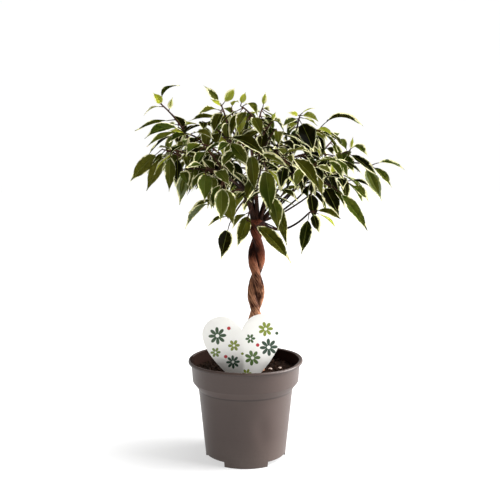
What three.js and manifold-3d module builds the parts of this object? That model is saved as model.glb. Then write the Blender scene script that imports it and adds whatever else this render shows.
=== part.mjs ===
// Weeping fig with two stems twisted into one trunk, cream-edged leaves, a heart label and a nursery pot.
// Millimetres, +Z up, the pot stands on z = 0 and its axis is x = y = 0. The front is -Y.
import * as THREE from "three";
import { mergeVertices } from "three/addons/utils/BufferGeometryUtils.js";
import Module from "manifold-3d";

const wasm = await Module();
wasm.setup();

// Clearance between pieces that touch on the real plant
const GAP = 0.3;

// Pot
const POT_SIDES = 32;
const POT_HEIGHT = 105;
const WALL = 1.2;
const LIP_RADIUS = 60;
const LIP_HEIGHT = 3.4;
const COLLAR_TOP_RADIUS = 57;
const COLLAR_FOOT_RADIUS = 55.6;
const COLLAR_FOOT_HEIGHT = 82;
const SHOULDER_RADIUS = 49.6;
const SHOULDER_HEIGHT = 74;
const FOOT_RADIUS = 42;
const FLOOR_UNDERSIDE = 6;
const FLOOR_THICKNESS = 1.6;
const FOOT_RING_WIDTH = 1.5;
const CENTRE_DISC_RADIUS = 14;
const NOTCH_HALF_ANGLE = 28;
const NOTCH_HEIGHT = 5.5;
const NOTCH_DEEP = 30;
const NOTCH_WIDE = 60;
const FRONT_FOOT_ANGLE = -89;
const DRAIN_RADIUS = 4;
const DRAIN_CENTRE = 33;

// Compost
const SOIL_HEIGHT = 93;
const SOIL_RELIEF = 1.5;
const SOIL_RINGS = [1, 0.8, 0.52, 0.24];
const CHUNKS = 5;

// Trunk
const TRUNK_SIDES = 12;
const TRUNK_STEP = 6;
const TRUNK_FOOT = 68;
const TRUNK_TOP = 248;
const TRUNK_FOOT_X = 9.2;
const TRUNK_TOP_X = 12;
const STRAND_RADIUS = 4.6;
const STRAND_OFFSET = 4.15;
const STRAND_TURN = 75;
const PINCH_HEIGHT = 231;
const THIRD_STRAND = 1.5;
const COLLAR_OF_ROOTS = 10.4;
const HOLE_RADIUS = COLLAR_OF_ROOTS + 2.5 * GAP;
const KNUCKLE_RADIUS = 8;
const KNUCKLE_SQUASH = 0.55;
const KNUCKLE_RISE = 2;

// Limbs of the crown, thick end and thin end
const LIMB_SIDES = 4;
const LIMB_STEPS = 5;
const LIMB_THICK = 1.4;
const LIMB_THIN = 1;
const KNUCKLE = [12, 0, 247];

// Leafy shoots
const STEM_SIDES = 4;
const STEM_STEPS = 3;
const STEM_THICK = 1;
const STEM_THIN = 0.75;
const PETIOLE_SHARE = 0.2;
const PETIOLE_RADIUS = 0.6;
const BLADE_STATIONS = [0.42, 0.72];
const BLADE_THICKNESS = 1.2;
const BLADE_FOLD = 24;
const LEAF_ARCH = 0.17;
const LEAF_CLEARANCE = 3.4;
const STEM_CLEARANCE = 2.8;

// Label
const LABEL_THICKNESS = 1;
const LABEL_Y = -28;
const LABEL_TILT = 3.5;
const HEART_TIP = 82;
const HEART_HALF_WIDTH = 40.3;
const HEART_HEIGHT = 74.5;
const HEART_NOTCH = 59.5;
const STAKE_HALF_WIDTH = 3.2;
const STAKE_LENGTH = 32;

const COLOURS = {
  pot: 0x6b5f59,
  soil: 0x2b211c,
  trunk: 0x7a5544,
  label: 0xe6e5df,
  leaves: 0x55682f,
};

// Each limb: where it ends, then how far out and how high its bend lies, as shares of its reach.
const LIMBS = [
  [-56, 2, 332, 0.22, 0.85],
  [-52, -28, 308, 0.18, 0.85],
  [-22, -58, 296, 0.18, 0.85],
  [-18, 22, 346, 0.15, 0.7],
  [10, 6, 350, 0.1, 0.5],
  [50, 4, 334, 0.25, 0.75],
  [84, 8, 308, 0.4, 0.5],
  [46, -42, 300, 0.3, 0.75],
  [10, -62, 300, 0.1, 0.85],
  [64, 15, 254, 0.5, -2.6],
  [-48, 52, 322, 0.2, 0.8],
  [2, 66, 336, 0.15, 0.8],
  [56, 56, 322, 0.25, 0.7],
  [-8, 58, 292, 0.2, 0.8],
  [78, 44, 296, 0.35, 0.5],
  [-34, 14, 306, 0.2, 0.85],
];

// Each shoot: the limb that bears it, how far along it, where its stem ends, and its leaves.
// A leaf says how far along the stem it grows, how far its tip lies to the right and above as seen
// from the front, its length (below zero where it runs away from the front), its width, and the way
// its upper face looks: 0 to the front, 90 up, 180 to the back. A last number changes its arch.
const FRONT_SHOOTS = [
  [8, 0.42, [2, -64, 256], [
    [1, 41, -40, 60, 15, 40, 0.34],
    [0.7, -12, -36, 42, 14, 15],
  ]],
  [0, 1, [-87, 10, 368], [
    [1, 22, 17, 30, 12, 82, 0.4],
    [0.9, -9, 13, 18, 9, 20],
    [0.7, 5, 14, 17, 6, 0],
    [0.85, -20, -9, 24, 8, 88, 0.3],
    [0.45, -40, -12, 46, 11, 72, 0.1],
    [0.3, -25, -4, -34, 10, 75],
    [0.15, -37, -15, 46, 11, 70],
    [0.25, 14, 3, -26, 9, 60],
  ]],
  [0, 0.85, [-60, -22, 338], [
    [1, -37, -6, 46, 15, 55, 0.4],
    [0.9, -17, 2, 22, 6, 40],
    [0.75, 26, -4, 44, 12, 70],
    [0.5, -22, -6, 48, 13, 75],
    [0.4, 12, 12, -36, 11, 70],
  ]],
  [1, 1, [-83, -15, 322], [
    [1, -31, -31, 47, 15, 15],
    [0.88, -15, -19, 28, 6, 10],
    [0.8, -19, -40, 48, 14, 30],
    [0.6, -14, 5, 28, 9, 60],
    [0.45, 2, 14, -26, 8, 60],
    [0.3, -18, 8, -34, 10, 75],
  ]],
  [1, 0.8, [-72, -44, 322], [
    [1, 1, -40, 44, 12, 10],
    [0.85, 2, -30, 40, 12, 180],
    [0.6, -4, -22, 32, 9, 40],
    [0.7, 14, 16, -34, 10, 60],
  ]],
  [1, 0.6, [-60, -58, 304], [
    [1, 8, -15, 30, 11, 30],
    [0.9, -12, -33, 44, 12, 35],
    [0.75, -6, -17, 34, 9, 60],
    [0.6, 16, -26, 44, 13, 150],
  ]],
  [2, 0.95, [-36, -82, 305], [
    [1, -1, -29, 38, 15, 15],
    [0.85, -20, 2, 34, 10, 60],
    [0.6, 16, -14, 44, 13, 50],
  ]],
  [2, 0.8, [-21, -88, 294], [
    [1, 0, -36, 42, 15, 10],
    [0.9, 11, -41, 46, 14, 20],
    [0.6, -12, -26, 42, 12, 150],
  ]],
  [2, 0.6, [-28, -66, 272], [
    [1, -27, -22, 46, 10, 80, 0.35],
    [0.8, 8, -18, 34, 11, 30],
  ]],
  [2, 0.4, [-15, -62, 252], [
    [1, -8, -31, 38, 15, 15],
    [0.8, 2, -14, 24, 8, 30],
  ]],
  [8, 1, [-20, -72, 334], [
    [1, 40, -23, 52, 14, 55, 0.26],
    [0.9, 22, -26, 46, 13, 40],
    [0.75, -12, -8, 42, 10, 60],
    [0.55, -16, -22, 44, 12, 50],
  ]],
  [8, 0.9, [5, -92, 324], [
    [1, 4, -38, 44, 14, 25],
    [0.9, -8, -45, 52, 13, 35],
    [0.7, 18, -6, 36, 11, 60],
  ]],
  [8, 0.7, [18, -86, 312], [
    [1, 5, -46, 50, 18, 15],
    [0.9, 16, 2, 24, 8, 60],
    [0.6, -14, -32, 44, 13, 150],
  ]],
  [7, 0.5, [24, -62, 284], [
    [1, 8, -36, 46, 15, 50],
    [0.85, 16, -53, 60, 12, 35],
    [0.6, 10, -38, 50, 11, 175],
  ]],
  [9, 1, [70, 13, 258], [
    [1, 28, -7, 38, 11, 60, 0.2],
    [0.8, 6, -22, 30, 11, 20],
    [0.3, -9, -42, 46, 14, 15],
  ]],
  [6, 0.65, [86, -36, 286], [
    [1, 32, -43, 56, 13, 50],
    [0.65, 16, -32, 44, 17, 20],
    [0.6, 20, 6, 38, 10, 70],
    [0.4, -8, -14, 40, 12, 150],
  ]],
  [6, 0.85, [104, -14, 288], [
    [1, 18, -17, 34, 10, 55],
    [0.9, 20, -4, 38, 9, 75],
    [0.7, -6, -18, 40, 12, 40],
    [0.5, 10, 14, -34, 10, 60],
  ]],
  [6, 1, [107, 10, 320], [
    [0.95, 18, -6, 28, 10, 55, 0.6],
    [1, 2, 15, 17, 4, 0],
    [0.78, 30, -25, 46, 11, 55],
    [0.66, 10, -20, 34, 11, 40],
    [0.52, -6, -28, 42, 12, 15],
    [0.38, 5, -29, 38, 11, 30],
  ]],
  [6, 0.95, [131, 20, 305], [
    [1, 32, -5, 36, 8, 60, 0.36],
    [0.95, 22, -23, 36, 10, 50],
    [0.8, 16, -38, 50, 15, 25],
    [0.58, -4, -22, 36, 11, 60],
    [0.42, 8, 12, -30, 9, 70],
  ]],
  [6, 0.75, [96, 46, 333], [
    [1, 10, -13, 28, 10, 50],
    [0.8, 12, 10, -34, 9, 60],
    [0.6, -14, 6, -36, 10, 60],
  ]],
  [5, 1, [55, 0, 356], [
    [0.75, 14, -33, 46, 20, 30],
    [0.6, -12, -10, 24, 8, 60],
    [0.95, 18, -6, 24, 10, 45, 0.3],
    [0.85, 18, -9, 24, 6, 70],
    [1, 15, 7, 18, 4, 80],
    [0.95, -13, 3, 16, 6, 20],
    [0.8, -18, -9, 28, 9, 50],
    [0.4, -12, -16, 40, 14, 150],
  ]],
  [5, 0.85, [76, 18, 342], [
    [1, 43, 2, 50, 14, 65, 0.48],
    [0.8, 17, -5, 36, 11, 60],
    [0.7, 16, -10, 24, 7, 50],
    [0.55, 14, -18, 30, 8, 40],
    [0.9, -9, 3, 14, 5, 60],
    [0.35, -14, -10, 42, 12, 60],
  ]],
  [7, 0.85, [38, -68, 318], [
    [1, 32, -34, 54, 15, 55, 0.28],
    [0.9, 20, 4, 44, 14, 60],
    [0.7, -12, 10, 40, 12, 60],
    [0.5, -6, -26, 44, 13, 30],
  ]],
  [7, 1, [66, -62, 308], [
    [1, 16, -8, 26, 8, 40],
    [0.9, 22, 4, 40, 12, 60],
    [0.7, 12, -28, 46, 13, 40],
    [0.5, -10, -20, 42, 12, 60],
  ]],
  [3, 1, [-25, 10, 367], [
    [1, -17, 19, 27, 8, 15],
    [0.8, -12, 8, 18, 6, 30],
    [0.9, 13, 18, 24, 10, 190],
    [0.55, -25, -3, 42, 11, 65],
    [0.2, -38, -2, 48, 13, 60, 0.12],
  ]],
  [3, 0.85, [-15, 30, 363], [
    [1, 9, 6, 22, 8, 70, 0.3],
    [0.8, 12, -12, 30, 7, 60],
    [0.5, -16, -4, -40, 12, 70],
    [0.6, -10, 10, -30, 9, 60],
  ]],
  [4, 1, [-5, -5, 365], [
    [0.88, 16, -12, 28, 10, 70, 0.6],
    [1, 5, 14, 15, 7, 0],
    [0.6, -10, -20, 40, 11, 50],
    [0.3, 12, -24, 46, 12, 45],
  ]],
  [4, 0.9, [18, 30, 365], [
    [1, 3, 15, 16, 6, 0],
    [0.85, 7, -3, 26, 9, 60],
    [0.7, -10, -6, -34, 10, 60],
    [0.5, 14, -10, -40, 11, 60],
  ]],
  [4, 0.75, [27, -12, 350], [
    [0.88, 10, 0, 26, 9, 60],
    [1, 3, 9, 14, 5, 20],
    [0.7, -16, -18, 44, 12, 50],
    [0.45, 22, -16, 44, 13, 60],
  ]],
  [15, 1, [-46, -14, 316], [
    [1, -10, -26, 44, 14, 170],
    [0.8, 10, -28, 46, 14, 160],
    [0.6, -16, 6, 40, 12, 60],
    [0.35, 18, -10, 44, 13, 150],
  ]],
  [15, 0.7, [-16, -32, 312], [
    [1, -6, -34, 46, 14, 165],
    [0.8, 14, -28, 44, 13, 20],
    [0.5, -18, -12, 44, 13, 160],
  ]],
  [5, 0.6, [32, -26, 328], [
    [1, 16, -8, 44, 13, 60],
    [0.8, -10, -24, 44, 13, 150],
    [0.5, 18, -22, 44, 13, 40],
  ]],
];

// Each shoot whose leaves all come by rule: its limb, how far along it, and where its stem ends.
const PLAIN_SHOOTS = [
  [3, 0.65, [-44, 4, 350]],
  [0, 0.6, [-46, -46, 328]],
  [10, 0.45, [-62, 22, 318]],
  [2, 0.9, [-40, -50, 326]],
  [8, 0.6, [-4, -50, 330]],
  [4, 0.6, [30, -34, 342]],
  [5, 0.45, [58, -30, 318]],
  [6, 0.8, [84, -38, 316]],
  [10, 1, [-78, 72, 340]],
  [10, 0.8, [-84, 44, 318]],
  [10, 0.6, [-42, 78, 316]],
  [11, 1, [-16, 88, 356]],
  [11, 0.8, [22, 92, 338]],
  [12, 1, [72, 76, 342]],
  [12, 0.8, [94, 56, 314]],
  [12, 0.6, [50, 84, 310]],
  [13, 1, [-26, 84, 286]],
  [13, 0.7, [16, 78, 278]],
  [14, 1, [108, 58, 292]],
  [14, 0.7, [72, 66, 276]],
];
const PLAIN_LEAVES = 5;
const FULL_SHOOT = 5;
const LEAF_SEED = 11;

// Turns that a leaf tries in order to grow clear of the others: swing about the upright, then lift.
const WAYS_OUT = [
  [0, 0],
  [0, 6],
  [0, -6],
  [12, 0],
  [-12, 0],
  [12, 8],
  [-12, 8],
  [12, -8],
  [-12, -8],
  [26, 0],
  [-26, 0],
  [26, 10],
  [-26, 10],
  [40, -6],
  [-40, -6],
];

const radians = (degrees) => (degrees * Math.PI) / 180;
const add = (a, b) => [a[0] + b[0], a[1] + b[1], a[2] + b[2]];
const times = (a, s) => [a[0] * s, a[1] * s, a[2] * s];
const minus = (a, b) => [a[0] - b[0], a[1] - b[1], a[2] - b[2]];
const dot = (a, b) => a[0] * b[0] + a[1] * b[1] + a[2] * b[2];
const size = (a) => Math.sqrt(dot(a, a));
const unit = (a) => times(a, 1 / size(a));
const cross = (a, b) => [
  a[1] * b[2] - a[2] * b[1],
  a[2] * b[0] - a[0] * b[2],
  a[0] * b[1] - a[1] * b[0],
];

// A seeded run of numbers from 0 to 1.
function draws(seed) {
  let state = seed;
  return () => {
    state = (Math.imul(state, 1664525) + 1013904223) >>> 0;
    return state / 4294967296;
  };
}

// A curve from a to c that leaves a toward b.
function bend(a, b, c) {
  return {
    at: (t) => add(add(times(a, (1 - t) * (1 - t)), times(b, 2 * t * (1 - t))), times(c, t * t)),
    along: (t) => unit(add(times(minus(b, a), 1 - t), times(minus(c, b), t))),
    across: () => {
      const flat = cross(minus(b, a), minus(c, a));
      return size(flat) > 1e-6 ? unit(flat) : [1, 0, 0];
    },
  };
}

// A closed geometry as a solid that can be joined and cut.
function solidOf(geometry) {
  const bare = new THREE.BufferGeometry();
  bare.setAttribute("position", geometry.getAttribute("position"));
  bare.setIndex(geometry.index);
  const merged = mergeVertices(bare, 1e-4);
  return new wasm.Manifold(
    new wasm.Mesh({
      numProp: 3,
      vertProperties: merged.getAttribute("position").array,
      triVerts: new Uint32Array(merged.index.array),
    }),
  );
}

function solidFrom(vertices, triangles) {
  const geometry = new THREE.BufferGeometry();
  geometry.setAttribute("position", new THREE.Float32BufferAttribute(vertices.flat(), 3));
  geometry.setIndex(triangles.flat());
  return solidOf(geometry);
}

// A closed solid through rings of equally many points. Seen from its far end each ring turns anticlockwise.
function loft(rings) {
  const count = rings[0].length;
  const last = (rings.length - 1) * count;
  const triangles = [];
  for (let i = 0; i < rings.length - 1; i++)
    for (let k = 0; k < count; k++) {
      const a = i * count + k;
      const b = i * count + ((k + 1) % count);
      triangles.push([a, b, b + count], [a, b + count, a + count]);
    }
  for (let k = 1; k < count - 1; k++)
    triangles.push([0, k + 1, k], [last, last + k, last + k + 1]);
  return solidFrom(rings.flat(), triangles);
}

// A round tapering rod along a curve.
function rod(curve, sides, steps, thick, thin) {
  const rings = [];
  const side = curve.across();
  for (let i = 0; i <= steps; i++) {
    const t = i / steps;
    const up = cross(curve.along(t), side);
    const radius = thick + (thin - thick) * t;
    const ring = [];
    for (let k = 0; k < sides; k++) {
      const angle = (2 * Math.PI * k) / sides;
      const spoke = add(times(side, Math.cos(angle)), times(up, Math.sin(angle)));
      ring.push(add(curve.at(t), times(spoke, radius)));
    }
    rings.push(ring);
  }
  return loft(rings);
}

function limbCurve([x, y, z, lean, climb]) {
  const reach = minus([x, y, z], KNUCKLE);
  const level = Math.hypot(reach[0], reach[1]);
  const start = add(KNUCKLE, [(4.5 * reach[0]) / level, (4.5 * reach[1]) / level, 0]);
  const bendPoint = add(KNUCKLE, [reach[0] * lean, reach[1] * lean, reach[2] * climb]);
  return bend(start, bendPoint, [x, y, z]);
}

// The stem leaves its limb square to it as far as it can, with a clear gap at the joint.
function stemCurve(limb, along, end) {
  const from = limb.at(along);
  const radius = LIMB_THICK + (LIMB_THIN - LIMB_THICK) * along;
  const heading = unit(minus(end, from));
  const grain = limb.along(along);
  const lean = dot(heading, grain);
  let start;
  if (along === 1) start = add(from, times(grain, GAP + STEM_THICK * Math.sqrt(1 - lean * lean)));
  else {
    const square = unit(minus(heading, times(grain, lean)));
    start = add(from, times(square, radius + GAP + 0.8 * STEM_THICK * Math.abs(lean)));
  }
  const middle = times(add(start, end), 0.5);
  return bend(start, add(middle, [0, 0, 0.14 * size(minus(end, start))]), end);
}

// Half the width of a blade at a share of its length, as a part of its widest half.
function outline(share) {
  return Math.pow(Math.sin(Math.PI * Math.pow(share, 0.8)), 0.9) * (1 - 0.35 * Math.pow(share, 4));
}

// One leaf: its curve from stem to tip, the way its side looks, and points that stand for its blade.
function leafShape(root, reach, face, width, arch) {
  const normal = unit(minus(face, times(reach, dot(face, reach) / dot(reach, reach))));
  const middle = add(times(reach, 0.5), times(normal, arch * size(reach)));
  const curve = bend(root, add(root, middle), add(root, reach));
  const side = cross(unit(reach), normal);
  const marks = [];
  for (let i = 0; i < 9; i++) {
    const t = 0.14 + 0.105 * i;
    const share = (t - PETIOLE_SHARE) / (1 - PETIOLE_SHARE);
    const half = share > 0 ? (width / 2) * outline(share) : PETIOLE_RADIUS;
    for (const across of [-1, -0.34, 0.34, 1]) marks.push(edgePoint(curve, side, t, half * across));
  }
  return { curve, side, width, marks, centre: add(root, times(reach, 0.5)) };
}

// A point of a folded blade, a distance to one side of its midrib.
function edgePoint(curve, side, t, out) {
  const up = cross(side, curve.along(t));
  const raised = Math.abs(out) * Math.sin(radians(BLADE_FOLD));
  return add(add(curve.at(t), times(side, out * Math.cos(radians(BLADE_FOLD)))), times(up, raised));
}

function near(marks, others, limit) {
  for (const a of marks)
    for (const b of others) {
      const gap = minus(a, b);
      if (dot(gap, gap) < limit * limit) return true;
    }
  return false;
}

function isClear(leaf, owner, grown, rods) {
  for (const other of grown)
    if (other.owner !== owner && size(minus(leaf.centre, other.centre)) < 62)
      if (near(leaf.marks, other.marks, LEAF_CLEARANCE)) return false;
  for (const one of rods)
    if (one.owner !== owner && near(leaf.marks, one.marks, one.clearance)) return false;
  return true;
}

// Grows a leaf the first way that is clear of what stands already. A leaf with no clear way is left out.
function growLeaf(root, reach, face, width, arch, owner, grown, rods) {
  for (const [swing, lift] of WAYS_OUT) {
    const c = Math.cos(radians(swing));
    const s = Math.sin(radians(swing));
    const turned = [reach[0] * c - reach[1] * s, reach[0] * s + reach[1] * c, reach[2] + lift];
    const leaf = leafShape(root, turned, face, width, arch);
    if (isClear(leaf, owner, grown, rods)) {
      leaf.owner = owner;
      grown.push(leaf);
      return;
    }
  }
}

function rodMarks(curve, steps, owner, clearance) {
  const marks = [];
  for (let i = 0; i <= steps; i++) marks.push(curve.at(i / steps));
  return { marks, owner, clearance };
}

// All stems and leaves of the crown, each with the number of the shoot that owns it.
function growCrown() {
  const limbs = LIMBS.map(limbCurve);
  const stems = [...FRONT_SHOOTS, ...PLAIN_SHOOTS].map(([limb, along, end]) =>
    stemCurve(limbs[limb], along, end),
  );
  const rods = [
    ...limbs.map((curve) => rodMarks(curve, 24, -1, LIMB_THICK + STEM_CLEARANCE - 1)),
    ...stems.map((curve, owner) => rodMarks(curve, 12, owner, STEM_CLEARANCE)),
  ];
  const grown = [];
  FRONT_SHOOTS.forEach(([, , , leaves], owner) => {
    for (const [along, right, up, length, width, look, arch = LEAF_ARCH] of leaves) {
      const depth = Math.sqrt(Math.max(length * length - right * right - up * up, 0));
      const reach = [right, length > 0 ? -depth : depth, up];
      const face = [0, -Math.cos(radians(look)), Math.sin(radians(look))];
      growLeaf(stems[owner].at(along), reach, face, width, arch, owner, grown, rods);
    }
  });
  stems.forEach((curve, owner) => {
    const plain = owner >= FRONT_SHOOTS.length;
    const missing = plain ? PLAIN_LEAVES : Number(FRONT_SHOOTS[owner][3].length < FULL_SHOOT);
    const draw = draws(LEAF_SEED + owner);
    const end = curve.at(1);
    const outward = Math.atan2(end[1], end[0] - KNUCKLE[0]);
    for (let i = 0; i < missing; i++) {
      const along = plain ? 1 - 0.17 * i : 0.8 - 0.4 * i;
      const turn = (i % 2 ? 1 : -1) * (0.25 + 0.32 * i) + 0.5 * (draw() - 0.5);
      const dip = 0.15 + 0.9 * draw();
      const length = i ? 38 + 10 * draw() : 34;
      const width = i ? 11 + 4 * draw() : 10;
      const heading = outward + turn;
      const level = [Math.cos(heading), Math.sin(heading), 0];
      const reach = add(times(level, length * Math.cos(dip)), [0, 0, -length * Math.sin(dip)]);
      const face = add(times(level, 0.7), [0, 0, 0.7]);
      growLeaf(curve.at(along), reach, face, width, LEAF_ARCH, owner, grown, rods);
    }
  });
  return { limbs, stems, grown };
}

// A leaf as a closed solid: a thin straight petiole, then a folded blade that comes to a point.
function leafSolid({ curve, side, width }) {
  const start = curve.at(0);
  const neck = curve.at(PETIOLE_SHARE);
  const up = cross(side, curve.along(PETIOLE_SHARE));
  const section = [
    add(times(side, -PETIOLE_RADIUS), times(up, 0.5 * PETIOLE_RADIUS)),
    add(times(side, PETIOLE_RADIUS), times(up, 0.5 * PETIOLE_RADIUS)),
    times(up, -PETIOLE_RADIUS),
  ];
  const vertices = [...section.map((v) => add(start, v)), ...section.map((v) => add(neck, v))];
  for (const t of BLADE_STATIONS) {
    const half = (width / 2) * outline((t - PETIOLE_SHARE) / (1 - PETIOLE_SHARE));
    const lift = times(cross(side, curve.along(t)), BLADE_THICKNESS / 2);
    vertices.push(edgePoint(curve, side, t, -half), add(curve.at(t), lift));
    vertices.push(edgePoint(curve, side, t, half), minus(curve.at(t), lift));
  }
  vertices.push(curve.at(1));
  const triangles = [
    [0, 2, 1],
    [0, 1, 4],
    [0, 4, 3],
    [1, 2, 5],
    [1, 5, 4],
    [2, 0, 3],
    [2, 3, 5],
    [3, 4, 7],
    [3, 7, 6],
    [4, 8, 7],
    [4, 5, 9],
    [4, 9, 8],
    [3, 9, 5],
    [3, 6, 9],
  ];
  for (let i = 0; i < BLADE_STATIONS.length - 1; i++) {
    const [left, top, right, under] = [6, 7, 8, 9].map((k) => 4 * i + k);
    const [farLeft, farTop, farRight, farUnder] = [10, 11, 12, 13].map((k) => 4 * i + k);
    triangles.push([left, farTop, farLeft], [left, top, farTop]);
    triangles.push([right, farRight, farTop], [right, farTop, top]);
    triangles.push([left, farLeft, farUnder], [left, farUnder, under]);
    triangles.push([right, farUnder, farRight], [right, under, farUnder]);
  }
  const end = 2 + 4 * BLADE_STATIONS.length;
  const tip = end + 4;
  triangles.push([end, end + 1, tip], [end + 1, end + 2, tip]);
  triangles.push([end + 2, end + 3, tip], [end + 3, end, tip]);
  return solidFrom(vertices, triangles);
}

// The trunk's outline: two round strands side by side and a thin third one, turned as it rises.
function trunkRing(z) {
  const share = (z - TRUNK_FOOT) / (TRUNK_TOP - TRUNK_FOOT);
  const centre = TRUNK_FOOT_X + (TRUNK_TOP_X - TRUNK_FOOT_X) * share;
  const turn = Math.PI / 2 - (2 * Math.PI * (z - PINCH_HEIGHT)) / STRAND_TURN;
  const buried = THREE.MathUtils.smoothstep(112 - z, 0, 20);
  const headed = THREE.MathUtils.smoothstep(z, TRUNK_TOP - TRUNK_STEP, TRUNK_TOP);
  const ring = [];
  for (let k = 0; k < TRUNK_SIDES; k++) {
    const angle = (2 * Math.PI * k) / TRUNK_SIDES;
    const local = angle - turn;
    const across = STRAND_OFFSET * Math.sin(local);
    const lobes =
      STRAND_OFFSET * Math.abs(Math.cos(local)) +
      Math.sqrt(STRAND_RADIUS * STRAND_RADIUS - across * across);
    const ridge = THIRD_STRAND * Math.exp(-Math.pow(Math.cos(local) / 0.3, 2));
    let radius = lobes + ridge;
    radius += (COLLAR_OF_ROOTS - radius) * buried;
    radius += (KNUCKLE_RADIUS - radius) * headed;
    ring.push([centre + radius * Math.cos(angle), radius * Math.sin(angle), z]);
  }
  return ring;
}

function trunkSolid(limbs) {
  const rings = [];
  for (let z = TRUNK_FOOT; z <= TRUNK_TOP; z += TRUNK_STEP) rings.push(trunkRing(z));
  const head = new THREE.SphereGeometry(KNUCKLE_RADIUS, 10, 6);
  head.scale(1, 1, KNUCKLE_SQUASH).translate(KNUCKLE[0], KNUCKLE[1], KNUCKLE[2] + KNUCKLE_RISE);
  const stub = bend([16, -2, 249], [20, -3, 250], [23, -4, 255]);
  return wasm.Manifold.union([
    loft(rings),
    solidOf(head),
    rod(stub, 6, 2, 2.4, 1.8),
    ...limbs.map((curve) => rod(curve, LIMB_SIDES, LIMB_STEPS, LIMB_THICK, LIMB_THIN)),
  ]);
}

function turned(profile) {
  const points = profile.map(([r, z]) => new THREE.Vector2(r, z));
  points.push(points[0].clone());
  return solidOf(new THREE.LatheGeometry(points, POT_SIDES).rotateX(Math.PI / 2));
}

const FLOOR_TOP = FLOOR_UNDERSIDE + FLOOR_THICKNESS;
const FOOT_SLOPE = (SHOULDER_RADIUS - FOOT_RADIUS) / SHOULDER_HEIGHT;

function potSolid() {
  const body = turned([
    [0, 0],
    [CENTRE_DISC_RADIUS, 0],
    [CENTRE_DISC_RADIUS + 0.6, FLOOR_UNDERSIDE],
    [FOOT_RADIUS - FOOT_RING_WIDTH, FLOOR_UNDERSIDE],
    [FOOT_RADIUS - FOOT_RING_WIDTH, 0],
    [FOOT_RADIUS, 0],
    [SHOULDER_RADIUS, SHOULDER_HEIGHT],
    [COLLAR_FOOT_RADIUS, COLLAR_FOOT_HEIGHT],
    [COLLAR_TOP_RADIUS, POT_HEIGHT - LIP_HEIGHT],
    [LIP_RADIUS - 0.5, POT_HEIGHT - LIP_HEIGHT],
    [LIP_RADIUS, POT_HEIGHT - LIP_HEIGHT + 1],
    [LIP_RADIUS - 0.3, POT_HEIGHT - 0.8],
    [LIP_RADIUS - 1.4, POT_HEIGHT],
    [COLLAR_TOP_RADIUS - WALL, POT_HEIGHT - 1],
    [COLLAR_FOOT_RADIUS - WALL, COLLAR_FOOT_HEIGHT + 0.5],
    [SHOULDER_RADIUS - WALL, SHOULDER_HEIGHT + 0.5],
    [FOOT_RADIUS - WALL + FOOT_SLOPE * FLOOR_TOP, FLOOR_TOP],
    [0, FLOOR_TOP],
  ]);
  const cuts = [];
  for (let i = 0; i < 3; i++) {
    const middle = radians(FRONT_FOOT_ANGLE + 60 + 120 * i);
    const edge = radians(NOTCH_HALF_ANGLE);
    const corners = [[NOTCH_DEEP, -edge], [NOTCH_WIDE, -edge], [NOTCH_WIDE, edge], [NOTCH_DEEP, edge]];
    const wedge = new THREE.Shape(corners.map(([radius, turn]) => new THREE.Vector2(
      radius * Math.cos(middle + turn), radius * Math.sin(middle + turn))));
    cuts.push(solidOf(new THREE.ExtrudeGeometry(wedge, { depth: NOTCH_HEIGHT + 2, bevelEnabled: false })
      .translate(0, 0, -2)));
    const drain = new THREE.CylinderGeometry(DRAIN_RADIUS, DRAIN_RADIUS, 6, 8).rotateX(Math.PI / 2);
    drain.translate(DRAIN_CENTRE * Math.cos(middle), DRAIN_CENTRE * Math.sin(middle), FLOOR_TOP);
    cuts.push(solidOf(drain));
  }
  return body.subtract(wasm.Manifold.union(cuts));
}

// The compost fills the pot, with a lumpy top and plain holes for the trunk and for the stake of the label.
function soilSolid() {
  const inside = (r) => r - WALL - GAP;
  const bowl = [
    [inside(FOOT_RADIUS + FOOT_SLOPE * FLOOR_TOP), FLOOR_TOP + GAP],
    [inside(SHOULDER_RADIUS), SHOULDER_HEIGHT + 0.5],
    [inside(COLLAR_FOOT_RADIUS), COLLAR_FOOT_HEIGHT + 1],
  ];
  const draw = draws(5);
  const top = inside(COLLAR_FOOT_RADIUS + 0.6);
  const circle = (radius, height) => {
    const ring = [];
    for (let k = 0; k < POT_SIDES; k++) {
      const angle = (2 * Math.PI * k) / POT_SIDES;
      ring.push([radius * Math.sin(angle), -radius * Math.cos(angle), height()]);
    }
    return ring;
  };
  const rings = bowl.map(([r, z]) => circle(r, () => z));
  for (const share of SOIL_RINGS)
    rings.push(circle(top * share, () => SOIL_HEIGHT + SOIL_RELIEF * (draw() - 0.6)));
  const chunks = [];
  for (let i = 0; i < CHUNKS; i++) {
    const angle = 2 * Math.PI * draw();
    const out = 20 + 28 * draw();
    const chunk = new THREE.IcosahedronGeometry(2 + 2 * draw(), 0).rotateX(draw() * 3);
    chunk.translate(out * Math.cos(angle), out * Math.sin(angle), SOIL_HEIGHT - 0.4);
    if (Math.abs(out * Math.sin(angle) - LABEL_Y) > 6 || Math.abs(out * Math.cos(angle)) > 12)
      chunks.push(solidOf(chunk));
  }
  const trunkHole = new THREE.CylinderGeometry(HOLE_RADIUS, HOLE_RADIUS, 60, TRUNK_SIDES);
  trunkHole.rotateX(Math.PI / 2).translate(TRUNK_FOOT_X + 0.4, 0, TRUNK_FOOT - GAP + 30);
  return wasm.Manifold.union([loft(rings), ...chunks]).subtract(
    wasm.Manifold.union([solidOf(trunkHole), heartSheet(1.2 * GAP)]),
  );
}

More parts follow.
